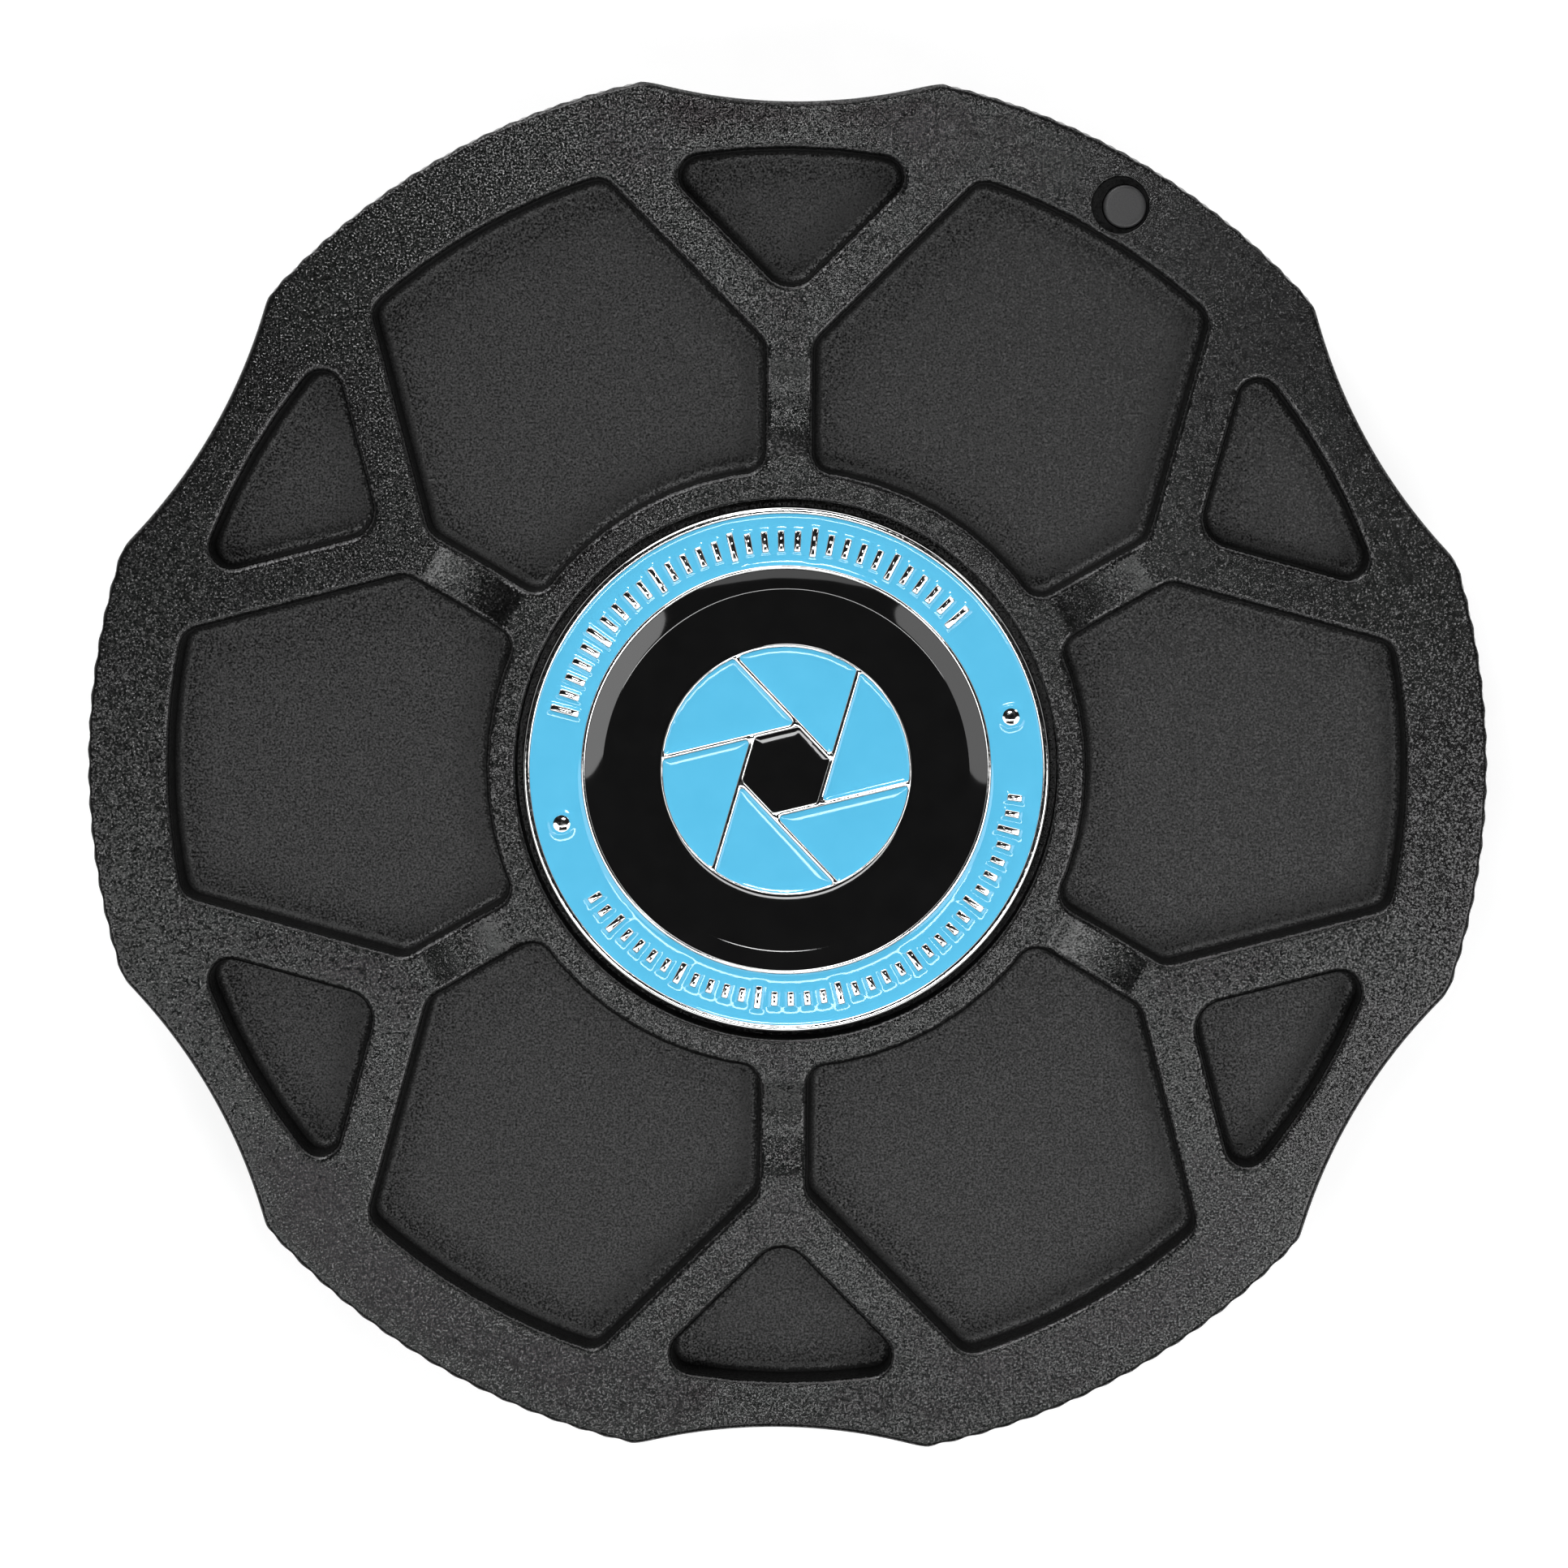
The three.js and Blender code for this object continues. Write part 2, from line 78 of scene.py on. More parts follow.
# Rim
RIM_EDGE = 0.3
SCALLOP_RADIUS = 27.1
SCALLOP_DISTANCE = 59.4
SCALLOP_BLEND = 12.0  # per millimetre: how sharply a scallop meets the rim
EDGE_BLEND = 60.0  # the same, where the rim's sides meet its rounded edges
KNURL_TEETH = 160
KNURL_DEPTH = 0.13
KNURL_SLOPE = 0.9  # rise of a knurl groove over its run round the rim
RIM_COLUMNS = 1280

# Pockets and ribs
RIBS = 6
RIB_STEP = TURN / RIBS
FIRST_RIB = TURN / 12
POCKET_DEPTH = 2.8
POCKET_OUTER_RADIUS = 30.0
POCKET_HUB_RADIUS = 14.6
POCKET_CORNER = 1.0
TRIANGLE_TIP = 1.4
RIB_HALF = 1.19  # half a rib's width
FORK_RADIUS = 20.7
EDGE_BREAK = 0.31
FLOOR_FILLET = 0.42
WALL_DRAFT = 0.05
FLAT_MARGIN = 0.06  # width of the flat strip that keeps a fillet's shading off a flat face
OUTLINE_STEP = 0.2  # between the points of a pocket's outline
CORNER_STEPS = 24

# Annular groove across the ribs
GROOVE_RADIUS = 17.6
GROOVE_WIDTH = 4.6
GROOVE_DEPTH = 0.45

# Recesses
BADGE_RECESS_RADIUS = 13.15
BADGE_RECESS_Z = pad_low.z - CLEARANCE
RECESS_BREAK = 0.18
PIN_COLUMNS = 72
PIN_RECESS_DISTANCE = 31.7
PIN_RECESS_RADIUS = 1.38
PIN_RECESS_DEPTH = 0.9
PIN_RECESS_BREAK = 0.04
PIN_LAND = 0.08  # flat land kept between the pin's recess and a pocket's edge break

# Back
REGISTER_RADIUS = 27.25
REGISTER_Z = ring_high.z + CLEARANCE
HOLLOW_RADIUS = 19.0
HOLLOW_Z = 7.7
BACK_BREAK = 0.25
BACK_COLUMNS = 288

# Badge
BADGE_TURN = TURN * 14 / 360
CELL_Z = enamel_low.z - CLEARANCE
RIM_LINE_RADIUS = 12.44
RING_LINE = (9.75, 9.97)
BEAD_DISTANCE = 11.22
BEAD_RADIUS = 0.55
IRIS_RADIUS = 6.1
IRIS_OPENING = 2.3
IRIS_LINE_HALF = 0.12
BLADES = 6
BLADE_STEP = TURN / BLADES
CELL_STEP = 0.09  # between the points of an iris cell

# Screws
SCREWS = 6
SCREW_DISTANCE = 21.5
SCREW_HEAD_RADIUS = 1.6
SCREW_SHANK_RADIUS = 0.9
SCREW_HEAD_HEIGHT = 0.75


# ---- Mesh building ----
class Skin:
    """A mesh made of closed loops of points, in millimetres, and of flat fills between them."""

    def __init__(self):
        self.points = []
        self.faces = []
        self.slots = []

    def loop(self, points):
        first = len(self.points)
        self.points.extend(map(tuple, points))
        return list(range(first, first + len(points)))

    def bridge(self, one, other, slot=0):
        """Joins two loops of one length. Its faces look along tangent x step, so a chain that
        rises faces away from the axis, and one that goes inwards faces up."""
        count = len(one)
        for i in range(count):
            j = (i + 1) % count
            self.faces.append((one[i], one[j], other[j], other[i]))
            self.slots.append(slot)

    def chain(self, loops, slot=0):
        """Joins each loop to the next and returns the last."""
        for one, other in zip(loops, loops[1:]):
            self.bridge(one, other, slot)
        return loops[-1]

    def cap(self, loop, up=True, slot=0):
        """Closes a loop that is convex, or nearly so, with a fan round its middle."""
        middle = np.mean([self.points[i] for i in loop], axis=0)
        centre = self.loop([middle])[0]
        count = len(loop)
        for i in range(count):
            j = (i + 1) % count
            corners = (loop[i], loop[j], centre) if up else (loop[j], loop[i], centre)
            self.faces.append(corners)
            self.slots.append(slot)

    def fill(self, outer, holes=(), inside=(), height=None, up=True, slot=0):
        """Fills the area between an outer loop and holes with triangles through inside points."""
        rows = list(outer)
        group = [0] * len(outer)
        edges = closed_edges(0, len(outer))
        for number, hole in enumerate(holes, 1):
            edges += closed_edges(len(rows), len(hole))
            rows += hole
            group += [number] * len(hole)
        if len(inside):
            rows += self.loop([(x, y, height) for x, y in inside])
            group += [-1] * len(inside)
        flat = [Vector(self.points[i][:2]) for i in rows]
        made = delaunay_2d_cdt(flat, edges, [], 0, 1e-7, True)
        outlines = []
        for number in range(len(holes) + 1):
            outlines.append(np.array([point for point, g in zip(flat, group) if g == number]))
        source = [origin[0] for origin in made[3]]
        for triangle in made[2]:
            corners = [source[i] for i in triangle]
            groups = {group[i] for i in corners}
            if len(groups) == 1 and -1 not in groups:
                number = groups.pop()
                middle = sum((flat[i] for i in corners), Vector((0, 0))) / 3
                if contains(outlines[number], middle) != (number == 0):
                    continue
            face = tuple(rows[i] for i in corners)
            self.faces.append(face if up else face[::-1])
            self.slots.append(slot)

    def piece(self, name, slot, replaces, materials, sharp=50):
        """The Blender object, riding on the cap's one body in place of its CAD nodes."""
        mesh = bpy.data.meshes.new(name)
        mesh.from_pydata([[c * MM for c in point] for point in self.points], [], self.faces)
        mesh.polygons.foreach_set("use_smooth", [True] * len(mesh.polygons))
        mesh.polygons.foreach_set("material_index", self.slots)
        mesh.set_sharp_from_angle(angle=math.radians(sharp))
        for material in materials:
            mesh.materials.append(material)
        mesh.update()
        made = bpy.data.objects.new(name, mesh)
        bpy.context.scene.collection.objects.link(made)
        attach(made, "root")
        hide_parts(*replaces)
        return made


def closed_edges(first, count):
    return [(first + i, first + (i + 1) % count) for i in range(count)]


def contains(outline, point):
    """Whether a closed outline holds a point."""
    x1, y1 = outline[:, 0], outline[:, 1]
    x2, y2 = np.roll(x1, -1), np.roll(y1, -1)
    across = (y1 > point[1]) != (y2 > point[1])
    with np.errstate(divide="ignore", invalid="ignore"):
        crossing = x1 + (point[1] - y1) * (x2 - x1) / (y2 - y1)
    return bool(np.count_nonzero(across & (point[0] < crossing)) % 2)


# ---- Outlines ----
def polar(radius, angle):
    return np.array([radius * math.cos(angle), radius * math.sin(angle)])


def screw_centre(index):
    return polar(SCREW_DISTANCE, FIRST_RIB + TURN * index / SCREWS)


def rotated(points, angle):
    c, s = math.cos(angle), math.sin(angle)
    return np.asarray(points) @ np.array([[c, s], [-s, c]])


def circle(radius, count, centre=(0, 0)):
    angles = np.arange(count) * TURN / count
    return np.stack([radius * np.cos(angles) + centre[0], radius * np.sin(angles) + centre[1]], axis=1)


def arc_between(radius, start, end, count):
    """Corners along an arc, its ends left out."""
    return [(polar(radius, start + (end - start) * i / count), 0) for i in range(1, count)]


def rounded_outline(corners, step=OUTLINE_STEP):
    """A closed outline through (point, radius) corners, each rounded, with even steps."""
    points = []
    count = len(corners)
    for i, (at, radius) in enumerate(corners):
        if not radius:
            points.append(at)
            continue
        before = corners[i - 1][0] - at
        after = corners[(i + 1) % count][0] - at
        before = before / np.linalg.norm(before)
        after = after / np.linalg.norm(after)
        half = math.acos(float(before @ after)) / 2
        middle = (before + after) / np.linalg.norm(before + after)
        centre = at + middle * radius / math.sin(half)
        reach = radius / math.tan(half)
        first = at + before * reach - centre
        last = at + after * reach - centre
        start = math.atan2(first[1], first[0])
        sweep = (math.atan2(last[1], last[0]) - start + 1.5 * TURN) % TURN - TURN / 2
        for step_number in range(CORNER_STEPS + 1):
            points.append(centre + polar(radius, start + sweep * step_number / CORNER_STEPS))
    return resampled(np.array(points), step)


def resampled(points, step):
    """A closed outline with its points moved to even steps along it."""
    closed = np.vstack([points, points[:1]])
    lengths = np.linalg.norm(np.diff(closed, axis=0), axis=1)
    along = np.concatenate([[0], np.cumsum(lengths)])
    count = max(8, round(along[-1] / step))
    where = np.arange(count) * along[-1] / count
    return np.stack([np.interp(where, along, closed[:, k]) for k in (0, 1)], axis=1)


def offset(outline, distance):
    """A closed anticlockwise outline moved outwards along its normals, by one distance or by one a point."""
    tangent = np.roll(outline, -1, axis=0) - np.roll(outline, 1, axis=0)
    tangent /= np.linalg.norm(tangent, axis=1)[:, None]
    return outline + (distance * np.array([tangent[:, 1], -tangent[:, 0]])).T


def at_height(outline, height):
    return np.column_stack([outline, np.broadcast_to(height, len(outline))])


def arm_corner(start, radius):
    """Where an arm's 45-degree side, which leaves the rib's middle line at start, meets a circle."""
    y = (math.sqrt(2 * radius**2 - start**2) - start) / 2
    return np.array([start + y, y])


MIRROR = np.array([1, -1])
PIN_RECESS_CENTRE = polar(PIN_RECESS_DISTANCE, TURN / 6)
ARM_INNER = FORK_RADIUS - RIB_HALF
ARM_OUTER = ARM_INNER + 2 * RIB_HALF * math.sqrt(2)


def large_pocket():
    hub = polar(POCKET_HUB_RADIUS, math.asin(RIB_HALF / POCKET_HUB_RADIUS))
    fork = np.array([FORK_RADIUS, RIB_HALF])
    outer = arm_corner(ARM_INNER, POCKET_OUTER_RADIUS)
    lower = rotated([hub, fork, outer], -RIB_STEP / 2)
    upper = (lower * MIRROR)[::-1]
    outer_angle = math.atan2(upper[0][1], upper[0][0])
    hub_angle = math.atan2(upper[2][1], upper[2][0])
    return rounded_outline(
        [(point, POCKET_CORNER) for point in lower]
        + arc_between(POCKET_OUTER_RADIUS, -outer_angle, outer_angle, 8)
        + [(point, POCKET_CORNER) for point in upper]
        + arc_between(POCKET_HUB_RADIUS, hub_angle, -hub_angle, 8)
    )


def small_pocket():
    upper = arm_corner(ARM_OUTER, POCKET_OUTER_RADIUS)
    angle = math.atan2(upper[1], upper[0])
    return rounded_outline(
        [(np.array([ARM_OUTER, 0]), TRIANGLE_TIP), (upper * MIRROR, POCKET_CORNER)]
        + arc_between(POCKET_OUTER_RADIUS, -angle, angle, 6)
        + [(upper, POCKET_CORNER)]
    )


# ---- Face plate ----
def smaller(one, other, sharpness):
    """The smaller of two fields, rounded where they cross."""
    least = np.minimum(one, other)
    return least - np.log1p(np.exp(-sharpness * np.abs(one - other))) / sharpness


def scallop_limit(angles):
    """Distance from the axis to the nearest scallop's surface."""
    local = (angles - FIRST_RIB + RIB_STEP / 2) % RIB_STEP - RIB_STEP / 2
    half_chord = SCALLOP_RADIUS**2 - (SCALLOP_DISTANCE * np.sin(local)) ** 2
    return SCALLOP_DISTANCE * np.cos(local) - np.sqrt(np.maximum(half_chord, 0))


def wave(turns):
    """A rounded zigzag from 0 to 1 with its peaks at whole turns."""
    zigzag = 2 * np.abs(turns - np.floor(turns) - 0.5)
    return zigzag * zigzag * (3 - 2 * zigzag) * 0.5 + zigzag * 0.5


def rim_radius(angles, height):
    """The rim's radius at one height: diamond knurl, cut by the scallops and rounded at both ends."""
    climb = (height - SEAT_Z) * KNURL_TEETH / (TURN * RIM_RADIUS) * KNURL_SLOPE + 0.2
    turns = angles * KNURL_TEETH / TURN
    diamonds = np.minimum(wave(turns + climb), wave(turns - climb))
    knurled = RIM_RADIUS - KNURL_DEPTH * (1 - diamonds)
    limit = scallop_limit(angles)
    plain = smaller(np.full_like(angles, RIM_RADIUS), limit, SCALLOP_BLEND)
    wall = smaller(knurled, limit, SCALLOP_BLEND)
    short = RIM_EDGE - min(height - SEAT_Z, FRONT_Z - height, RIM_EDGE)
    inset = RIM_EDGE - math.sqrt(RIM_EDGE**2 - short**2)
    return smaller(wall, plain - inset, EDGE_BLEND)


def rim_loops(skin):
    """Loops from the seat, round the rim and up to the front face."""
    angles = np.arange(RIM_COLUMNS) * TURN / RIM_COLUMNS
    edge = np.array([0] + [RIM_EDGE * (1 - math.cos(angle)) for angle in quarter(8)])
    middle = np.linspace(SEAT_Z + RIM_EDGE, FRONT_Z - RIM_EDGE, 36)[1:-1]
    heights = np.concatenate([SEAT_Z + edge, middle, (FRONT_Z - edge)[::-1]])
    directions = np.stack([np.cos(angles), np.sin(angles)], axis=1)
    rows = [(rim_radius(angles, height), height) for height in heights]
    rows.insert(0, (rows[0][0] - FLAT_MARGIN, SEAT_Z))
    rows.append((rows[-1][0] - FLAT_MARGIN, FRONT_Z))
    return [skin.loop(at_height(directions * radius[:, None], height)) for radius, height in rows]


def groove_drop(points):
    """How far the annular groove lowers the front face at each point."""
    half = GROOVE_WIDTH / 2
    bend = (half**2 + GROOVE_DEPTH**2) / (2 * GROOVE_DEPTH)
    across = np.hypot(points[:, 0], points[:, 1]) - GROOVE_RADIUS
    inside = np.abs(across) < half
    drop = np.sqrt(bend**2 - np.where(inside, across, half) ** 2) - (bend - GROOVE_DEPTH)
    return np.where(inside, drop, 0)


def quarter(count):
    """Angles of a quarter turn, its start left out."""
    return [TURN / 4 * (k + 1) / count for k in range(count)]


LAND, WALL, FLOOR, BACK = range(4)


def pocket(skin, outline):
    """Edge break, wall, fillet and floor of one pocket. Returns the loop that its land meets.

    Each step is how far out it lies, its height from the face and how much it follows the groove.
    The edge break narrows where the pin's recess comes close."""
    to_pin = np.linalg.norm(outline - PIN_RECESS_CENTRE, axis=1) - PIN_RECESS_RADIUS - PIN_RECESS_BREAK
    room = np.clip((to_pin - PIN_LAND) / (EDGE_BREAK + FLAT_MARGIN), 0.2, 1)
    steps = [(EDGE_BREAK + FLAT_MARGIN, 0, 1), (EDGE_BREAK, 0, 1)]
    for angle in quarter(5):
        out = EDGE_BREAK * (1 - math.sin(angle))
        steps.append((out, -EDGE_BREAK * (1 - math.cos(angle)), 1))
    wall_first = len(steps)
    wall_foot = FLOOR_FILLET - POCKET_DEPTH
    for share in (0.25, 0.5, 0.75, 1):
        down = -EDGE_BREAK + share * (wall_foot + EDGE_BREAK)
        steps.append((-WALL_DRAFT * share, down, 1 - share))
    fillet_first = len(steps)
    for angle in quarter(6):
        out = -WALL_DRAFT - FLOOR_FILLET * (1 - math.cos(angle))
        steps.append((out, wall_foot - FLOOR_FILLET * math.sin(angle), 0))
    steps.append((-WALL_DRAFT - FLOOR_FILLET - FLAT_MARGIN, -POCKET_DEPTH, 0))
    loops = []
    for out, down, follow in steps:
        share = room if follow == 1 else 1
        ring = offset(outline, out * share)
        loops.append(skin.loop(at_height(ring, FRONT_Z + down * share - groove_drop(ring) * follow)))
    skin.chain(loops[:wall_first], LAND)
    skin.chain(loops[wall_first - 1 : fillet_first], WALL)
    skin.fill(skin.chain(loops[fillet_first - 1 :], FLOOR), slot=FLOOR)
    return loops[0]


def recess(skin, radius, depth, edge, count, centre=(0, 0)):
    """A round recess with a broken edge. Returns its land loop and its floor loop."""
    profile = [(radius + 1.6 * edge, 0), (radius + edge, 0)]
    for angle in quarter(4):
        profile.append((radius + edge * (1 - math.sin(angle)), -edge * (1 - math.cos(angle))))
    profile.append((radius, -depth))
    loops = [skin.loop(at_height(circle(r, count, centre), FRONT_Z + z)) for r, z in profile]
    skin.chain(loops[:-1], LAND)
    skin.chain(loops[-2:], WALL)
    return loops[0], loops[-1]


LAND_STEP = (0.8, 0.7)  # between points of the front face, along a row and from row to row
LAND_MARGIN = 0.9  # from the rim to the nearest of them
LAND_GAP = 0.16  # from an outline to the nearest of them
GROOVE_ROWS = (-0.72, -0.43, -0.14, 0.14, 0.43, 0.72)  # across a rib


def land_points(keep_out):
    """Points spread over the front face, clear of each outline in keep_out, and denser in the groove."""
    along, up = LAND_STEP
    columns, rows = int(RIM_RADIUS / along), int(RIM_RADIUS / up)
    spread = []
    for row in range(-rows, rows + 1):
        for column in range(-columns, columns + 1):
            spread.append((along * (column + 0.5 * (row % 2)), up * row))
    even_count = len(spread)
    reach = GROOVE_WIDTH / 2 + 0.2
    for rib in range(RIBS):
        for radius in np.arange(GROOVE_RADIUS - reach, GROOVE_RADIUS + reach + 0.01, 0.1):
            for across in GROOVE_ROWS:
                spread.append(rotated([radius, across], FIRST_RIB + rib * RIB_STEP))
    points = np.array(spread)
    radii = np.hypot(points[:, 0], points[:, 1])
    angles = np.arctan2(points[:, 1], points[:, 0])
    limit = smaller(np.full_like(radii, RIM_RADIUS), scallop_limit(angles), SCALLOP_BLEND)
    in_groove = np.abs(radii - GROOVE_RADIUS) < reach
    even = np.arange(len(points)) < even_count
    points = points[(radii < limit - LAND_MARGIN) & ~(even & in_groove)]
    for outline in keep_out:
        middle = outline.mean(axis=0)
        near = np.linalg.norm(points - middle, axis=1) < np.linalg.norm(outline - middle, axis=1).max() + 0.5
        clear = np.ones(len(points), bool)
        for i in np.nonzero(near)[0]:
            gap = np.linalg.norm(outline - points[i], axis=1).min()
            clear[i] = gap > LAND_GAP and not contains(outline, points[i])
        points = points[clear]
    return points


def face_plate():
    skin = Skin()
    rim = rim_loops(skin)
    skin.chain(rim, LAND)

    lands = []
    for rib in range(RIBS):
        angle = FIRST_RIB + rib * RIB_STEP
        lands.append(pocket(skin, rotated(small_pocket(), angle)))
        lands.append(pocket(skin, rotated(large_pocket(), angle + RIB_STEP / 2)))

    badge_land, badge_floor = recess(skin, BADGE_RECESS_RADIUS, FRONT_Z - BADGE_RECESS_Z, RECESS_BREAK, 360)
    skin.cap(badge_floor, slot=FLOOR)

    pin_land, pin_floor = recess(
        skin, PIN_RECESS_RADIUS, PIN_RECESS_DEPTH, PIN_RECESS_BREAK, PIN_COLUMNS, PIN_RECESS_CENTRE
    )
    bore = circle(PIN_RADIUS + CLEARANCE, PIN_COLUMNS, PIN_CENTRE)
    mouth = skin.loop(at_height(bore, FRONT_Z - PIN_RECESS_DEPTH))
    foot = skin.loop(at_height(bore, pin_low.z - CLEARANCE))
    skin.chain([pin_floor, mouth, foot], WALL)
    skin.cap(foot, slot=WALL)

    holes = lands + [badge_land, pin_land]
    outlines = [np.array([skin.points[i][:2] for i in hole]) for hole in holes]
    front_first = len(skin.points)
    skin.fill(rim[-1], holes, land_points(outlines), FRONT_Z, slot=LAND)
    inside = np.array([point[:2] for point in skin.points[front_first:]])
    for i, drop in enumerate(groove_drop(inside)):
        x, y, z = skin.points[front_first + i]
        skin.points[front_first + i] = (x, y, z - drop)

    hollow = [
        (HOLLOW_RADIUS - 0.5 - FLAT_MARGIN, HOLLOW_Z),
        (HOLLOW_RADIUS - 0.5, HOLLOW_Z),
        (HOLLOW_RADIUS - 0.15, HOLLOW_Z - 0.15),
        (HOLLOW_RADIUS, HOLLOW_Z - 0.5),
        (HOLLOW_RADIUS, REGISTER_Z + 0.12),
        (HOLLOW_RADIUS + 0.12, REGISTER_Z),
        (HOLLOW_RADIUS + 0.12 + FLAT_MARGIN, REGISTER_Z),
    ]
    register = [
        (REGISTER_RADIUS - FLAT_MARGIN, REGISTER_Z),
        (REGISTER_RADIUS, REGISTER_Z),
        (REGISTER_RADIUS, SEAT_Z + BACK_BREAK),
        (REGISTER_RADIUS + BACK_BREAK / 2, SEAT_Z + 0.06),
        (REGISTER_RADIUS + BACK_BREAK, SEAT_Z),
        (REGISTER_RADIUS + BACK_BREAK + FLAT_MARGIN, SEAT_Z),
    ]
    hollow_loops = [skin.loop(at_height(circle(r, BACK_COLUMNS), z)) for r, z in hollow]
    register_loops = [skin.loop(at_height(circle(r, BACK_COLUMNS), z)) for r, z in register]
    skin.chain(hollow_loops, BACK)
    skin.cap(hollow_loops[0], up=False, slot=BACK)
    skin.chain(register_loops, BACK)
    tapped = []
    for index in range(SCREWS):
        hole = circle(SCREW_SHANK_RADIUS + CLEARANCE, 32, screw_centre(index))
        mouth = skin.loop(at_height(hole, REGISTER_Z))
        foot = skin.loop(at_height(hole, screw_high.z + CLEARANCE))
        skin.bridge(foot, mouth, BACK)
        skin.cap(foot, up=False, slot=BACK)
        tapped.append(mouth)
    skin.fill(register_loops[0], [hollow_loops[-1], *tapped], up=False, slot=BACK)
    skin.fill(rim[0], [register_loops[-1]], up=False, slot=BACK)
    return skin


# ---- Badge ----
BADGE_COLUMNS = 720
TICK_HALF_WIDTH = 0.18
TICK_CORNER = 0.09
TICK_STEP = TURN * 4.1 / 360
TICK_SECTION = ((0, CELL_Z - BADGE_TOP_Z), (0, -0.07), (0.02, -0.028), (0.06, 0))  # inset, height
BEAD_ROUNDING = 0.16  # how far a bead's rounded top drops to its side
BEAD_STEPS = 7


def tick_marks():
    """(angle, middle radius, half length) of every raised tick in the badge's ring."""
    marks = []
    for middle, span, inner, outer in ((TURN / 4, 15, 10.4, 11.85), (-TURN / 4, 17, 10.6, 11.75)):
        for index in range(-span, span + 1):
            trim = 0 if index % 5 == 0 else 0.2
            low, high = inner + trim, outer - trim
            marks.append((middle + index * TICK_STEP, (low + high) / 2, (high - low) / 2))
    return marks


BEADS = (0, TURN / 2)


def slab_outline(half_length, half_width, corner, steps):
    """A rounded rectangle round the origin, anticlockwise, with its length along X."""
    points = []
    signs = ((1, 1), (-1, 1), (-1, -1), (1, -1))
    for turn, (sx, sy) in enumerate(signs):
        middle = np.array([sx * (half_length - corner), sy * (half_width - corner)])
        for step in range(steps + 1):
            points.append(middle + polar(corner, TURN / 4 * (turn + step / steps)))
    return np.array(points)


def raised_mark(skin, outlines, heights):
    """A raised mark: loops of one outline drawn in step by step, then a cap. Returns its foot."""
    loops = [skin.loop(at_height(outline, height)) for outline, height in zip(outlines, heights)]
    skin.cap(skin.chain(loops))
    return loops[0]


def tick(skin, angle, middle, half_length):
    outlines = []
    heights = []
    for inset, height in TICK_SECTION:
        shape = slab_outline(half_length - inset, TICK_HALF_WIDTH - inset, TICK_CORNER - inset, 4)
        outlines.append(rotated(shape + [middle, 0], angle))
        heights.append(BADGE_TOP_Z + height)
    return raised_mark(skin, outlines, heights)


def bead(skin, angle):
    centre = polar(BEAD_DISTANCE, angle)
    outlines = [circle(BEAD_RADIUS, 48, centre)]
    heights = [CELL_Z]
    for step in range(BEAD_STEPS):
        lift = TURN / 4 * step / BEAD_STEPS
        outlines.append(circle(BEAD_RADIUS * math.cos(lift), 48, centre))
        heights.append(BADGE_TOP_Z - BEAD_ROUNDING * (1 - math.sin(lift)))
    return raised_mark(skin, outlines, heights)


def circle_exit(point, direction, radius):
    """Where a line from a point inside a circle leaves it."""
    along = float(point @ direction)
    return point + direction * (math.sqrt(along**2 + radius**2 - float(point @ point)) - along)


def blade_outline(inset):
    """One cell of the iris, between two of the lines that carry the hexagon's sides out."""
    corners = [polar(IRIS_OPENING, i * BLADE_STEP) for i in range(3)]
    first = (corners[1] - corners[0]) / IRIS_OPENING
    second = (corners[2] - corners[1]) / IRIS_OPENING
    side = corners[1] + inset * np.array([-first[1], first[0]])
    next_side = corners[1] + inset * np.array([second[1], -second[0]])
    gap = next_side - side
    cross = first[0] * second[1] - first[1] * second[0]
    root = side + first * (gap[0] * second[1] - gap[1] * second[0]) / cross
    radius = IRIS_RADIUS - inset
    tip = circle_exit(side, first, radius)
    next_tip = circle_exit(next_side, second, radius)
    arc = arc_between(radius, math.atan2(tip[1], tip[0]), math.atan2(next_tip[1], next_tip[0]), 8)
    return rounded_outline([(root, 0.14), (tip, 0.12), *arc, (next_tip, 0.1)], CELL_STEP)


def opening_outline(inset):
    reach = IRIS_OPENING - inset / math.cos(BLADE_STEP / 2)
    return rounded_outline([(polar(reach, i * BLADE_STEP), 0.12) for i in range(BLADES)], CELL_STEP)


def cell(skin, outline):
    """A sunk cell with a broken edge. Returns the loop that meets the metal's top."""
    loops = []
    for out, height in (
        (0.06, BADGE_TOP_Z),
        (0.025, BADGE_TOP_Z - 0.015),
        (0.005, BADGE_TOP_Z - 0.05),
        (0, CELL_Z),
    ):
        loops.append(skin.loop(at_height(offset(outline, out), height)))
    skin.fill(skin.chain(loops))
    return loops[0]


def badge_loop(skin, radius, height):
    return skin.loop(at_height(circle(radius, BADGE_COLUMNS), height))


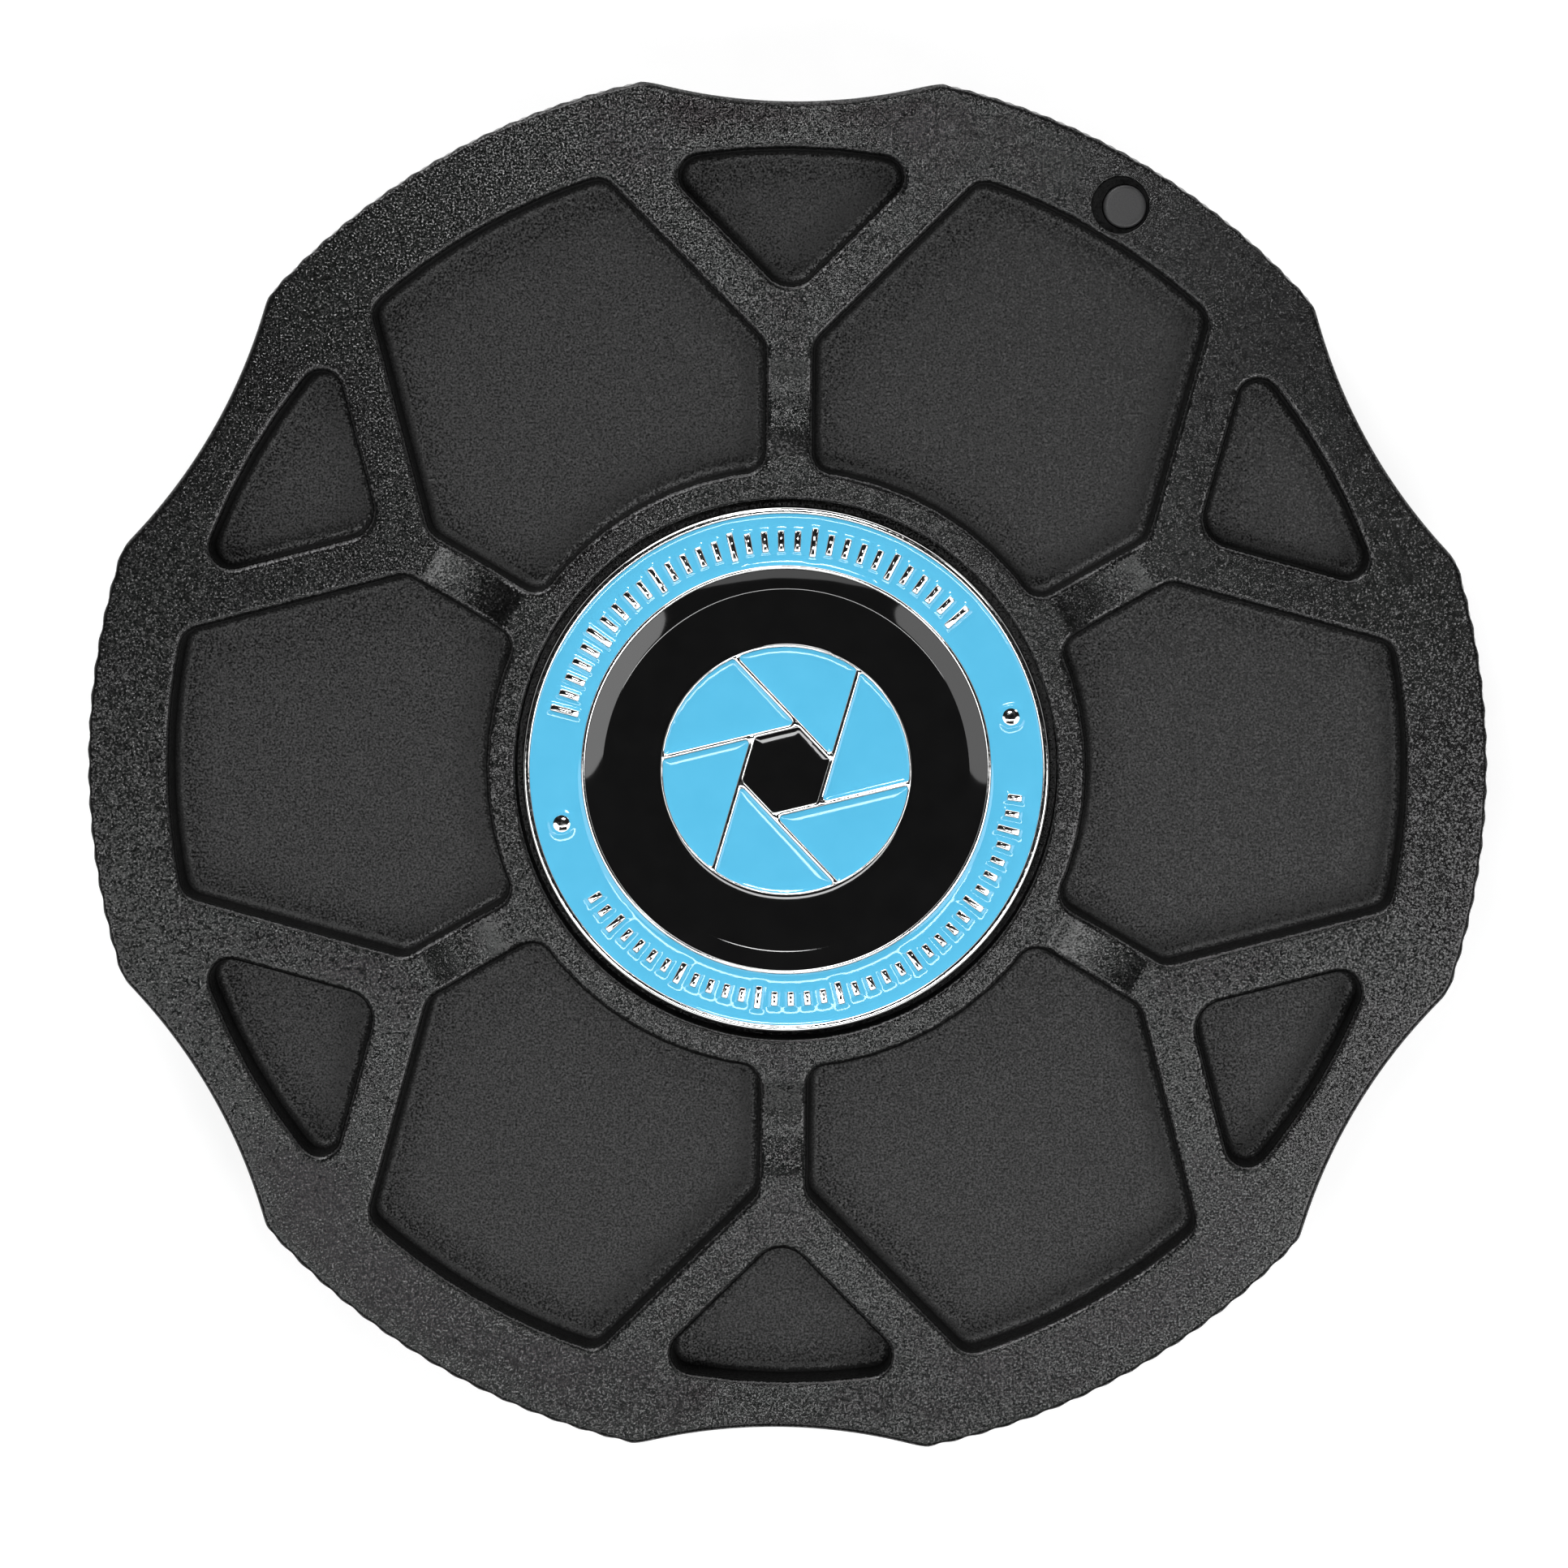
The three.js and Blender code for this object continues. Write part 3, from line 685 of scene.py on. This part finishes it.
def badge_base():
    skin = Skin()
    top = BADGE_TOP_Z
    outside = [
        (BADGE_RADIUS - 0.15, badge_low.z),
        (BADGE_RADIUS - 0.04, badge_low.z + 0.04),
        (BADGE_RADIUS, badge_low.z + 0.15),
        (BADGE_RADIUS, top - 0.16),
        (BADGE_RADIUS - 0.012, top - 0.1),
        (BADGE_RADIUS - 0.047, top - 0.047),
        (BADGE_RADIUS - 0.1, top - 0.012),
        (BADGE_RADIUS - 0.16, top),
        (RIM_LINE_RADIUS + 0.09, top),
        (RIM_LINE_RADIUS + 0.045, top - 0.01),
        (RIM_LINE_RADIUS + 0.012, top - 0.04),
        (RIM_LINE_RADIUS, top - 0.09),
        (RIM_LINE_RADIUS, CELL_Z),
    ]
    inner, outer = RING_LINE
    line = [
        (outer, CELL_Z),
        (outer, top - 0.08),
        (outer - 0.015, top - 0.03),
        (outer - 0.06, top),
        (inner + 0.06, top),
        (inner + 0.015, top - 0.03),
        (inner, top - 0.08),
        (inner, CELL_Z),
        (IRIS_RADIUS, CELL_Z),
        (IRIS_RADIUS, top - 0.05),
        (IRIS_RADIUS - 0.015, top - 0.015),
        (IRIS_RADIUS - 0.045, top),
    ]
    outside_loops = [badge_loop(skin, r, z) for r, z in outside]
    line_loops = [badge_loop(skin, r, z) for r, z in line]
    skin.cap(outside_loops[0], up=False)
    skin.chain(outside_loops)
    skin.chain(line_loops)
    marks = [tick(skin, *mark) for mark in tick_marks()]
    marks += [bead(skin, angle) for angle in BEADS]
    skin.fill(outside_loops[-1], [line_loops[0], *marks])
    cells = [cell(skin, rotated(blade_outline(IRIS_LINE_HALF), i * BLADE_STEP)) for i in range(BLADES)]
    cells.append(cell(skin, opening_outline(IRIS_LINE_HALF)))
    skin.fill(line_loops[-1], cells)
    return turned_to_badge(skin)


def turned_to_badge(skin):
    """Turns a part of the badge to the angle at which the badge is stuck on."""
    points = np.array(skin.points)
    points[:, :2] = rotated(points[:, :2], BADGE_TURN)
    skin.points = [tuple(point) for point in points]
    return skin


ENAMEL_SINK = 0.1  # how far open enamel lies below the metal
FIELD_SINK = 0.27  # the same, for the black field
ENAMEL_FUSE = 0.004  # enamel is fused to its cell's walls, so it reaches a hair into them


def meniscus(distance, climb, reach):
    """The height that molten enamel climbs at a distance from metal."""
    return climb * np.exp(-np.maximum(distance, 0) / reach)


def bank(distance, climb, reach):
    """A nearly straight slope of enamel up to a wall, which starts sharply at its reach."""
    share = np.maximum(1 - np.maximum(distance, 0) / reach, 0)
    return climb * share * (0.85 + 0.15 * share)


def polar_grid(skin, radii, columns, height_at, low):
    """A flat ring of enamel between the first and last radius, with its top at height_at(points)."""
    rings = []
    for radius in radii:
        points = circle(radius, columns)
        rings.append(skin.loop(at_height(points, height_at(points))))
    foot_out = skin.loop(at_height(circle(radii[0], columns), low))
    foot_in = skin.loop(at_height(circle(radii[-1], columns), low))
    skin.chain([foot_out, *rings, foot_in, foot_out])


def edged_steps(outer, inner, count, crowd):
    """Radii from outer to inner, closer together near both ends."""
    share = np.linspace(-1, 1, count)
    eased = np.sign(share) * (1 - (1 - np.abs(share)) ** crowd)
    return (outer + inner) / 2 - eased * (outer - inner) / 2


def mark_distance(points, angle, middle, half_length, half_width):
    """Distance from each point to a rectangle that lies along a radius."""
    local = rotated(points, -angle) - [middle, 0]
    out = np.maximum(np.abs(local) - [half_length, half_width], 0)
    return np.hypot(out[:, 0], out[:, 1])


def ring_enamel():
    skin = Skin()
    outer = RIM_LINE_RADIUS + ENAMEL_FUSE
    inner = RING_LINE[1] - ENAMEL_FUSE

    def height_at(points):
        radii = np.hypot(points[:, 0], points[:, 1])
        walls = np.minimum(outer - radii, radii - inner)
        gaps = [mark_distance(points, *mark, TICK_HALF_WIDTH) for mark in tick_marks()]
        for angle in BEADS:
            gaps.append(mark_distance(points, angle, BEAD_DISTANCE, 0.1, 0.1) - BEAD_RADIUS + 0.1)
        marks = np.min(gaps, axis=0)
        return BADGE_TOP_Z - ENAMEL_SINK + meniscus(walls, 0.06, 0.22) + meniscus(marks, 0.045, 0.16)

    polar_grid(skin, edged_steps(outer, inner, 46, 1.25), 1440, height_at, enamel_low.z)
    return turned_to_badge(skin)


def field_enamel():
    skin = Skin()
    outer = RING_LINE[0] + ENAMEL_FUSE
    inner = IRIS_RADIUS - ENAMEL_FUSE

    def height_at(points):
        radii = np.hypot(points[:, 0], points[:, 1])
        return (
            BADGE_TOP_Z
            - FIELD_SINK
            + bank(outer - radii, 0.25, 0.95)
            + meniscus(radii - inner, 0.02, 0.15)
        )

    polar_grid(skin, edged_steps(outer, inner, 48, 1.5), 720, height_at, field_low.z)
    return turned_to_badge(skin)


def cell_enamel(outline, climb, reach):
    """Enamel that fills one cell of the iris."""
    skin = Skin()
    border = offset(outline, ENAMEL_FUSE)
    low, high = border.min(axis=0), border.max(axis=0)
    columns, rows = ((high - low) / CELL_STEP).astype(int) + 1
    grid = []
    for row in range(rows):
        for column in range(columns):
            point = low + [CELL_STEP * (column + 0.5 * (row % 2)), CELL_STEP * row]
            if contains(border, point) and np.linalg.norm(border - point, axis=1).min() > 0.05:
                grid.append(point)
    foot = skin.loop(at_height(border, enamel_low.z))
    edge = skin.loop(at_height(border, BADGE_TOP_Z - ENAMEL_SINK + climb))
    skin.bridge(foot, edge)
    first = len(skin.points)
    skin.fill(edge, inside=grid, height=0)
    for i, point in enumerate(grid):
        gap = np.linalg.norm(border - point, axis=1).min()
        height = BADGE_TOP_Z - ENAMEL_SINK + float(meniscus(gap, climb, reach))
        skin.points[first + i] = (point[0], point[1], height)
    skin.cap(foot, up=False)
    return skin


# ---- Pin, screws and bayonet ring ----
def turned_chain(skin, section, columns, centre=(0, 0)):
    """Loops round a centre for [radius, height] pairs, joined in order. Returns the loops."""
    loops = [skin.loop(at_height(circle(radius, columns, centre), height)) for radius, height in section]
    skin.chain(loops)
    return loops


def index_pin():
    skin = Skin()
    rounding = 0.14
    section = [
        (PIN_RADIUS - 0.1, pin_low.z),
        (PIN_RADIUS, pin_low.z + 0.1),
        (PIN_RADIUS, pin_high.z - rounding),
    ]
    for angle in quarter(5):
        radius = PIN_RADIUS - rounding * (1 - math.cos(angle))
        section.append((radius, pin_high.z - rounding * (1 - math.sin(angle))))
    section.append((PIN_RADIUS - 0.3, pin_high.z))
    loops = turned_chain(skin, section, PIN_COLUMNS, PIN_CENTRE)
    skin.cap(loops[0], up=False)
    skin.cap(loops[-1])
    return skin


def cross_outline(half_length, half_width):
    """A cross with equal arms, anticlockwise."""
    points = []
    for arm in range(4):
        corners = [(half_length, -half_width), (half_length, half_width), (half_width, half_width)]
        points.extend(rotated(corners, arm * TURN / 4))
    return np.array(points)


def screw(index):
    skin = Skin()
    centre = screw_centre(index)
    turn = FIRST_RIB + TURN * index / SCREWS + 0.7 * index  # each screw stopped at its own angle
    rear = screw_low.z
    neck = rear + SCREW_HEAD_HEIGHT
    end = screw_high.z
    section = [
        (SCREW_HEAD_RADIUS - 0.1, rear),
        (SCREW_HEAD_RADIUS - 0.03, rear + 0.03),
        (SCREW_HEAD_RADIUS, rear + 0.1),
        (SCREW_SHANK_RADIUS, neck),
        (SCREW_SHANK_RADIUS, end - 0.3),
        (SCREW_SHANK_RADIUS - 0.3, end),
    ]
    loops = turned_chain(skin, section, 64, centre)
    skin.cap(loops[-1])
    cross = []
    for half_length, half_width, depth in ((0.85, 0.21, 0), (0.83, 0.19, 0.03), (0.45, 0.14, 0.55)):
        outline = rotated(cross_outline(half_length, half_width), turn) + centre
        cross.append(skin.loop(at_height(outline, rear + depth)))
    skin.chain(cross[::-1])
    skin.cap(cross[-1], up=False)
    skin.fill(loops[0], [cross[0]], up=False)
    return skin


RING_BORE = 19.4
BARREL_INNER, BARREL_OUTER = 23.4, 25.3
LUGS = 3
LUG_HALF_SPAN = TURN * 23 / 360
LUG_RADIUS = 26.8
LUG_ROOT = 24.7
LUG_LOW, LUG_HIGH = 0.7, 2.0
RING_COLUMNS = 360


def lug(skin, angle):
    """One bayonet lug, with broken edges, rooted in the barrel's wall."""
    corner = 0.35
    corners = [(polar(LUG_ROOT, -LUG_HALF_SPAN), 0), (polar(LUG_RADIUS, -LUG_HALF_SPAN), corner)]
    corners += arc_between(LUG_RADIUS, -LUG_HALF_SPAN, LUG_HALF_SPAN, 40)
    corners += [(polar(LUG_RADIUS, LUG_HALF_SPAN), corner), (polar(LUG_ROOT, LUG_HALF_SPAN), 0)]
    corners += arc_between(LUG_ROOT, LUG_HALF_SPAN, -LUG_HALF_SPAN, 40)
    outline = rotated(rounded_outline(corners, 0.22), angle)
    loops = []
    for out, height in (
        (-0.14, LUG_LOW),
        (-0.04, LUG_LOW + 0.04),
        (0, LUG_LOW + 0.14),
        (0, LUG_HIGH - 0.14),
        (-0.04, LUG_HIGH - 0.04),
        (-0.14, LUG_HIGH),
    ):
        loops.append(skin.loop(at_height(offset(outline, out), height)))
    skin.chain(loops)
    skin.fill(loops[0], up=False)
    skin.fill(loops[-1])


def bayonet_ring():
    skin = Skin()
    outer = ring_high.x
    back, front = SEAT_Z + 0.1, ring_high.z
    edge = 0.12
    rear = turned_chain(
        skin,
        [
            (BARREL_INNER - 0.15, back),
            (BARREL_INNER - 0.04, back - 0.04),
            (BARREL_INNER, back - 0.15),
            (BARREL_INNER, 0.35),
            (BARREL_INNER + 0.1, 0.1),
            (BARREL_INNER + 0.35, 0),
            (BARREL_OUTER - 0.35, 0),
            (BARREL_OUTER - 0.1, 0.1),
            (BARREL_OUTER, 0.35),
            (BARREL_OUTER, back - 0.25),
            (BARREL_OUTER + 0.07, back - 0.07),
            (BARREL_OUTER + 0.25, back),
            (outer - edge, back),
            (outer, back + edge),
            (outer, front - edge),
            (outer - edge, front),
        ],
        RING_COLUMNS,
    )
    hub = turned_chain(
        skin,
        [
            (RING_BORE + edge, front),
            (RING_BORE, front - edge),
            (RING_BORE, back + edge),
            (RING_BORE + edge, back),
        ],
        RING_COLUMNS,
    )
    mouths = []
    exits = []
    for index in range(SCREWS):
        neck = screw_low.z + SCREW_HEAD_HEIGHT
        section = [
            (SCREW_SHANK_RADIUS + CLEARANCE, front),
            (SCREW_SHANK_RADIUS + CLEARANCE, neck),
            (SCREW_HEAD_RADIUS + CLEARANCE, back + 0.05),
            (SCREW_HEAD_RADIUS + 0.09, back),
        ]
        loops = turned_chain(skin, section, 64, screw_centre(index))
        exits.append(loops[0])
        mouths.append(loops[-1])
    skin.fill(rear[0], [hub[-1], *mouths], up=False)
    skin.fill(rear[-1], [hub[0], *exits])
    for index in range(LUGS):
        lug(skin, TURN * index / LUGS)
    return skin


# ---- Materials ----
NOISE_GAIN = 9  # brings the noise's usual departure from 0.5 up to about 1


class Finish:
    """A Principled material and the nodes that feed it."""

    def __init__(self, name, **shader):
        self.material = bpy.data.materials.new(name)
        self.material.use_nodes = True
        self.nodes = self.material.node_tree.nodes
        self.shader = self.nodes["Principled BSDF"]
        for socket, value in shader.items():
            self.shader.inputs[socket.replace("_", " ")].default_value = value
        self.place = self.nodes.new("ShaderNodeTexCoord").outputs["Object"]

    def link(self, source, target):
        self.material.node_tree.links.new(source, target)

    def noise(self, size, detail=2.0, rough=0.5):
        """Noise with features about size millimetres across."""
        made = self.nodes.new("ShaderNodeTexNoise")
        made.inputs["Scale"].default_value = 1 / (size * MM)
        made.inputs["Detail"].default_value = detail
        made.inputs["Roughness"].default_value = rough
        self.link(self.place, made.inputs["Vector"])
        return made.outputs["Fac"]

    def spread(self, source, low, high, start=0.3, end=0.7):
        """A value that runs from low to high as the source runs from start to end."""
        made = self.nodes.new("ShaderNodeMapRange")
        for socket, value in zip(("From Min", "From Max", "To Min", "To Max"), (start, end, low, high)):
            made.inputs[socket].default_value = value
        self.link(source, made.inputs["Value"])
        return made.outputs["Result"]

    def colour(self, source, dark, light, start=0.3, end=0.7):
        ramp = self.nodes.new("ShaderNodeValToRGB")
        ramp.color_ramp.elements[0].position = start
        ramp.color_ramp.elements[0].color = (*dark, 1)
        ramp.color_ramp.elements[1].position = end
        ramp.color_ramp.elements[1].color = (*light, 1)
        self.link(source, ramp.inputs["Fac"])
        self.link(ramp.outputs["Color"], self.shader.inputs["Base Color"])

    def rough(self, source, low, high):
        self.link(self.spread(source, low, high), self.shader.inputs["Roughness"])

    def bump(self, source, height, under=None):
        """Bump of a height in millimetres. Returns its normal."""
        made = self.nodes.new("ShaderNodeBump")
        made.inputs["Strength"].default_value = 1.0
        made.inputs["Distance"].default_value = height * MM
        self.link(source, made.inputs["Height"])
        if under:
            self.link(under, made.inputs["Normal"])
        self.link(made.outputs["Normal"], self.shader.inputs["Normal"])
        return made.outputs["Normal"]

    def grain(self, size, slope):
        """Fine grain that tilts the surface by about slope, whatever the size of the picture."""
        noise = self.nodes.new("ShaderNodeTexNoise")
        noise.inputs["Scale"].default_value = 1 / (size * MM)
        noise.inputs["Detail"].default_value = 1.0
        self.link(self.place, noise.inputs["Vector"])
        tilt = self.maths("SUBTRACT", noise.outputs["Color"], (0.5, 0.5, 0.5))
        tilt = self.maths("MULTIPLY", tilt, (NOISE_GAIN * slope,) * 3)
        normal = self.nodes.new("ShaderNodeTexCoord").outputs["Normal"]
        total = self.maths("NORMALIZE", self.maths("ADD", tilt, normal))
        self.link(total, self.shader.inputs["Normal"])

    def maths(self, operation, one, other=None):
        made = self.nodes.new("ShaderNodeVectorMath")
        made.operation = operation
        self.link(one, made.inputs[0])
        if isinstance(other, tuple):
            made.inputs[1].default_value = other
        elif other is not None:
            self.link(other, made.inputs[1])
        return made.outputs["Vector"]

    def rings(self, pitch):
        """Fine turning marks round the cap's axis."""
        made = self.nodes.new("ShaderNodeTexWave")
        made.wave_type = "RINGS"
        made.rings_direction = "Z"
        made.inputs["Scale"].default_value = TURN / (20 * pitch * MM)
        made.inputs["Distortion"].default_value = 0.6
        made.inputs["Detail Scale"].default_value = 3.0
        self.link(self.place, made.inputs["Vector"])
        return made.outputs["Fac"]


def blasted(name, shade, grain, slope, roughness, gloss, sparkle):
    """Bead-blasted black anodised aluminium. Its gloss varies from speck to speck by the share sparkle."""
    made = Finish(name)
    speck = made.noise(grain, 1.5, rough=0.6)
    made.colour(speck, [0.5 * c for c in shade], [1.5 * c for c in shade], 0.36, 0.66)
    made.rough(made.noise(grain * 5, 1.0), roughness - 0.03, roughness + 0.03)
    level = made.spread(speck, (1 - sparkle) * gloss, (1 + sparkle) * gloss, 0.35, 0.65)
    made.link(level, made.shader.inputs["Specular IOR Level"])
    made.grain(grain, slope)
    return made.material


land_finish = blasted("anodised_blasted", (0.004, 0.004, 0.004), 0.1, 0.07, 0.2, 0.5, 0.6)
wall_finish = blasted("anodised_wall", (0.003, 0.003, 0.003), 0.12, 0.06, 0.4, 0.15, 0.2)
floor_finish = blasted("anodised_floor", (0.0145, 0.0145, 0.0145), 0.105, 0.15, 0.36, 0.37, 0.4)


def turned_black():
    made = Finish("anodised_turned", Roughness=0.34)
    speck = made.noise(0.12, 1.5)
    made.colour(speck, (0.016, 0.016, 0.0165), (0.032, 0.032, 0.033))
    marks = made.rings(0.16)
    made.bump(speck, 0.004, made.bump(marks, 0.004))
    return made.material


def pin_black():
    made = Finish("anodised_pin", Roughness=0.36)
    speck = made.noise(0.07, 1.0)
    made.colour(speck, (0.018, 0.018, 0.0185), (0.034, 0.034, 0.035))
    made.bump(speck, 0.003)
    return made.material


def nickel():
    made = Finish("badge_nickel", Metallic=1.0, Roughness=0.08)
    speck = made.noise(0.35, 2.0)
    made.colour(speck, (0.82, 0.82, 0.81), (0.93, 0.93, 0.925))
    made.rough(made.noise(0.2, 1.0), 0.05, 0.13)
    made.bump(made.noise(0.3, 1.0), 0.004)
    return made.material


def enamel(name, dark, light):
    made = Finish(name, Roughness=0.04)
    made.colour(made.noise(1.6, 2.0), dark, light)
    made.bump(made.noise(2.5, 1.0), 0.006)
    return made.material


def screw_steel():
    made = Finish("screw_steel", Metallic=1.0, Roughness=0.3)
    speck = made.noise(0.15, 2.0)
    made.colour(speck, (0.36, 0.36, 0.365), (0.5, 0.5, 0.5))
    made.rough(speck, 0.24, 0.38)
    made.bump(speck, 0.003)
    return made.material


def foam_tape():
    made = Finish("foam_tape", Roughness=0.75)
    speck = made.noise(0.2, 3.0)
    made.colour(speck, (0.62, 0.6, 0.54), (0.74, 0.72, 0.66))
    made.bump(speck, 0.02)
    return made.material


# ---- The pieces ----
back_finish = turned_black()
chrome_finish = nickel()
blue_finish = enamel("enamel_blue", (0.112, 0.55, 0.845), (0.122, 0.575, 0.875))
black_finish = enamel("enamel_black", (0.006, 0.006, 0.0061), (0.0075, 0.0075, 0.0076))
steel_finish = screw_steel()

body_finishes = [land_finish, wall_finish, floor_finish, back_finish]
face_plate().piece("face_plate_fine", "anodised_body", ["face_plate"], body_finishes, 38)
index_pin().piece("index_pin_fine", "anodised_pin", ["index_pin"], [pin_black()])
bayonet_ring().piece("bayonet_ring_fine", "turned_ring", ["bayonet_ring"], [back_finish], 38)
for number in range(SCREWS):
    node = f"bayonet_screw_{number + 1}"
    screw(number).piece(node + "_fine", "screw_steel", [node], [steel_finish], 35)
badge_base().piece("badge_base_fine", "badge_metal", ["badge_base"], [chrome_finish], 60)
ring_enamel().piece("badge_ring_enamel_fine", "blue_enamel", ["badge_ring_enamel"], [blue_finish])
field_enamel().piece("badge_field_enamel_fine", "black_enamel", ["badge_field_enamel"], [black_finish])
centre = turned_to_badge(cell_enamel(opening_outline(IRIS_LINE_HALF), 0.06, 0.4))
centre.piece("iris_centre_enamel_fine", "black_enamel", ["iris_centre_enamel"], [black_finish])
for number in range(BLADES):
    node = f"iris_blade_enamel_{number + 1}"
    outline = rotated(blade_outline(IRIS_LINE_HALF), number * BLADE_STEP)
    blade = turned_to_badge(cell_enamel(outline, 0.06, 0.25))
    blade.piece(node + "_fine", "blue_enamel", [node], [blue_finish])

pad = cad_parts["badge_adhesive_pad"]
pad.data.materials.clear()
pad.data.materials.append(foam_tape())


# ---- Floor, light and camera ----
def floor():
    mesh = bpy.data.meshes.new("floor")
    half = 1.5
    corners = [(-half, -half, 0), (half, -half, 0), (half, half, 0), (-half, half, 0)]
    mesh.from_pydata(corners, [], [(0, 1, 2, 3)])
    made = bpy.data.objects.new("floor", mesh)
    bpy.context.scene.collection.objects.link(made)
    paper = Finish("light_table", Roughness=0.9, Specular_IOR_Level=0.1, Emission_Strength=0.7)
    paper.shader.inputs["Emission Color"].default_value = (1, 1, 1, 1)
    paper.colour(paper.noise(3, 2.0), (0.5, 0.5, 0.5), (0.53, 0.53, 0.53))
    mesh.materials.append(paper.material)


LIGHT_DISTANCE = 0.2  # metres
LIGHTS = (  # name, lean from the zenith and turn from +X in degrees, width and depth in metres, strength
    ("back_box", 11, 88, 0.03, 0.014, 0.0085),
    ("front_card", 12.6, 270, 0.1, 0.011, 0.0115),
    ("front_panel", 39, 270, 0.17, 0.07, 0.0155),
    ("front_left_box", 33, 213, 0.1, 0.1, 0.02),
    ("front_right_box", 33, 327, 0.1, 0.1, 0.03),
    ("back_right_box", 32.5, 42, 0.03, 0.03, 0.0055),
    ("low_back_box", 47, 113, 0.1, 0.1, 0.038),
)


def softbox(name, lean, turn, width, depth, strength):
    """An area light near the cap and turned to it. Its width lies level."""
    data = bpy.data.lights.new(name, "AREA")
    data.shape = "ELLIPSE"
    data.size = width
    data.size_y = depth
    data.energy = strength * math.pi
    made = bpy.data.objects.new(name, data)
    bpy.context.scene.collection.objects.link(made)
    lean, turn = math.radians(lean), math.radians(turn)
    direction = Vector((math.sin(lean) * math.cos(turn), math.sin(lean) * math.sin(turn), math.cos(lean)))
    made.location = direction * LIGHT_DISTANCE
    made.rotation_euler = direction.to_track_quat("Z", "Y").to_euler()


SKY_TOP = 0.04
SKY_LOW = 2.4
SKY_FADE = (0.3, 0.65)  # heights on a unit sphere between which the low sky's glow fades
# Shares of that glow, by place from the front (0) to the back (1)
SKY_SHARES = ((0, 0.02), (0.06, 0.06), (0.14, 0.16), (0.5, 0.16), (0.78, 0.3), (0.93, 0.85), (1, 1))


def sky():
    """A dim studio: dark above the cap, pale towards the horizon, most of all behind the cap."""
    world = bpy.data.worlds.new("studio")
    bpy.context.scene.world = world
    world.use_nodes = True
    nodes, links = world.node_tree.nodes, world.node_tree.links
    split = nodes.new("ShaderNodeSeparateXYZ")
    links.new(nodes.new("ShaderNodeTexCoord").outputs["Generated"], split.inputs["Vector"])
    side = nodes.new("ShaderNodeMapRange")
    side.inputs["From Min"].default_value = -1
    links.new(split.outputs["Y"], side.inputs["Value"])
    ramp = nodes.new("ShaderNodeValToRGB")
    stops = ramp.color_ramp.elements
    while len(stops) < len(SKY_SHARES):
        stops.new(0.5)
    for stop, (position, share) in zip(stops, SKY_SHARES):
        stop.position = position
        stop.color = (share, share, share, 1)
    links.new(side.outputs["Result"], ramp.inputs["Fac"])
    glow = nodes.new("ShaderNodeMapRange")
    glow.interpolation_type = "SMOOTHSTEP"
    for socket, value in zip(("From Min", "From Max", "To Min", "To Max"), (*SKY_FADE, SKY_LOW, SKY_TOP)):
        glow.inputs[socket].default_value = value
    links.new(split.outputs["Z"], glow.inputs["Value"])
    background = nodes["Background"]
    links.new(ramp.outputs["Color"], background.inputs["Color"])
    links.new(glow.outputs["Result"], background.inputs["Strength"])


CAMERA_PLACE = (5.8, 25.4, 313.5)  # millimetres
CAMERA_TURN = (-4.92, 1.16, 0.5)  # degrees
CAMERA_LENS = 143.5  # millimetres, on a 36 mm sensor


def camera():
    data = bpy.data.cameras.new("camera")
    data.sensor_width = 36
    data.lens = CAMERA_LENS
    data.clip_start = 0.01
    data.clip_end = 10
    made = bpy.data.objects.new("camera", data)
    bpy.context.scene.collection.objects.link(made)
    made.location = Vector(CAMERA_PLACE) * MM
    made.rotation_euler = [math.radians(angle) for angle in CAMERA_TURN]
    bpy.context.scene.camera = made


floor()
sky()
for light in LIGHTS:
    softbox(*light)
camera()
bpy.context.scene.view_settings.view_transform = "Standard"
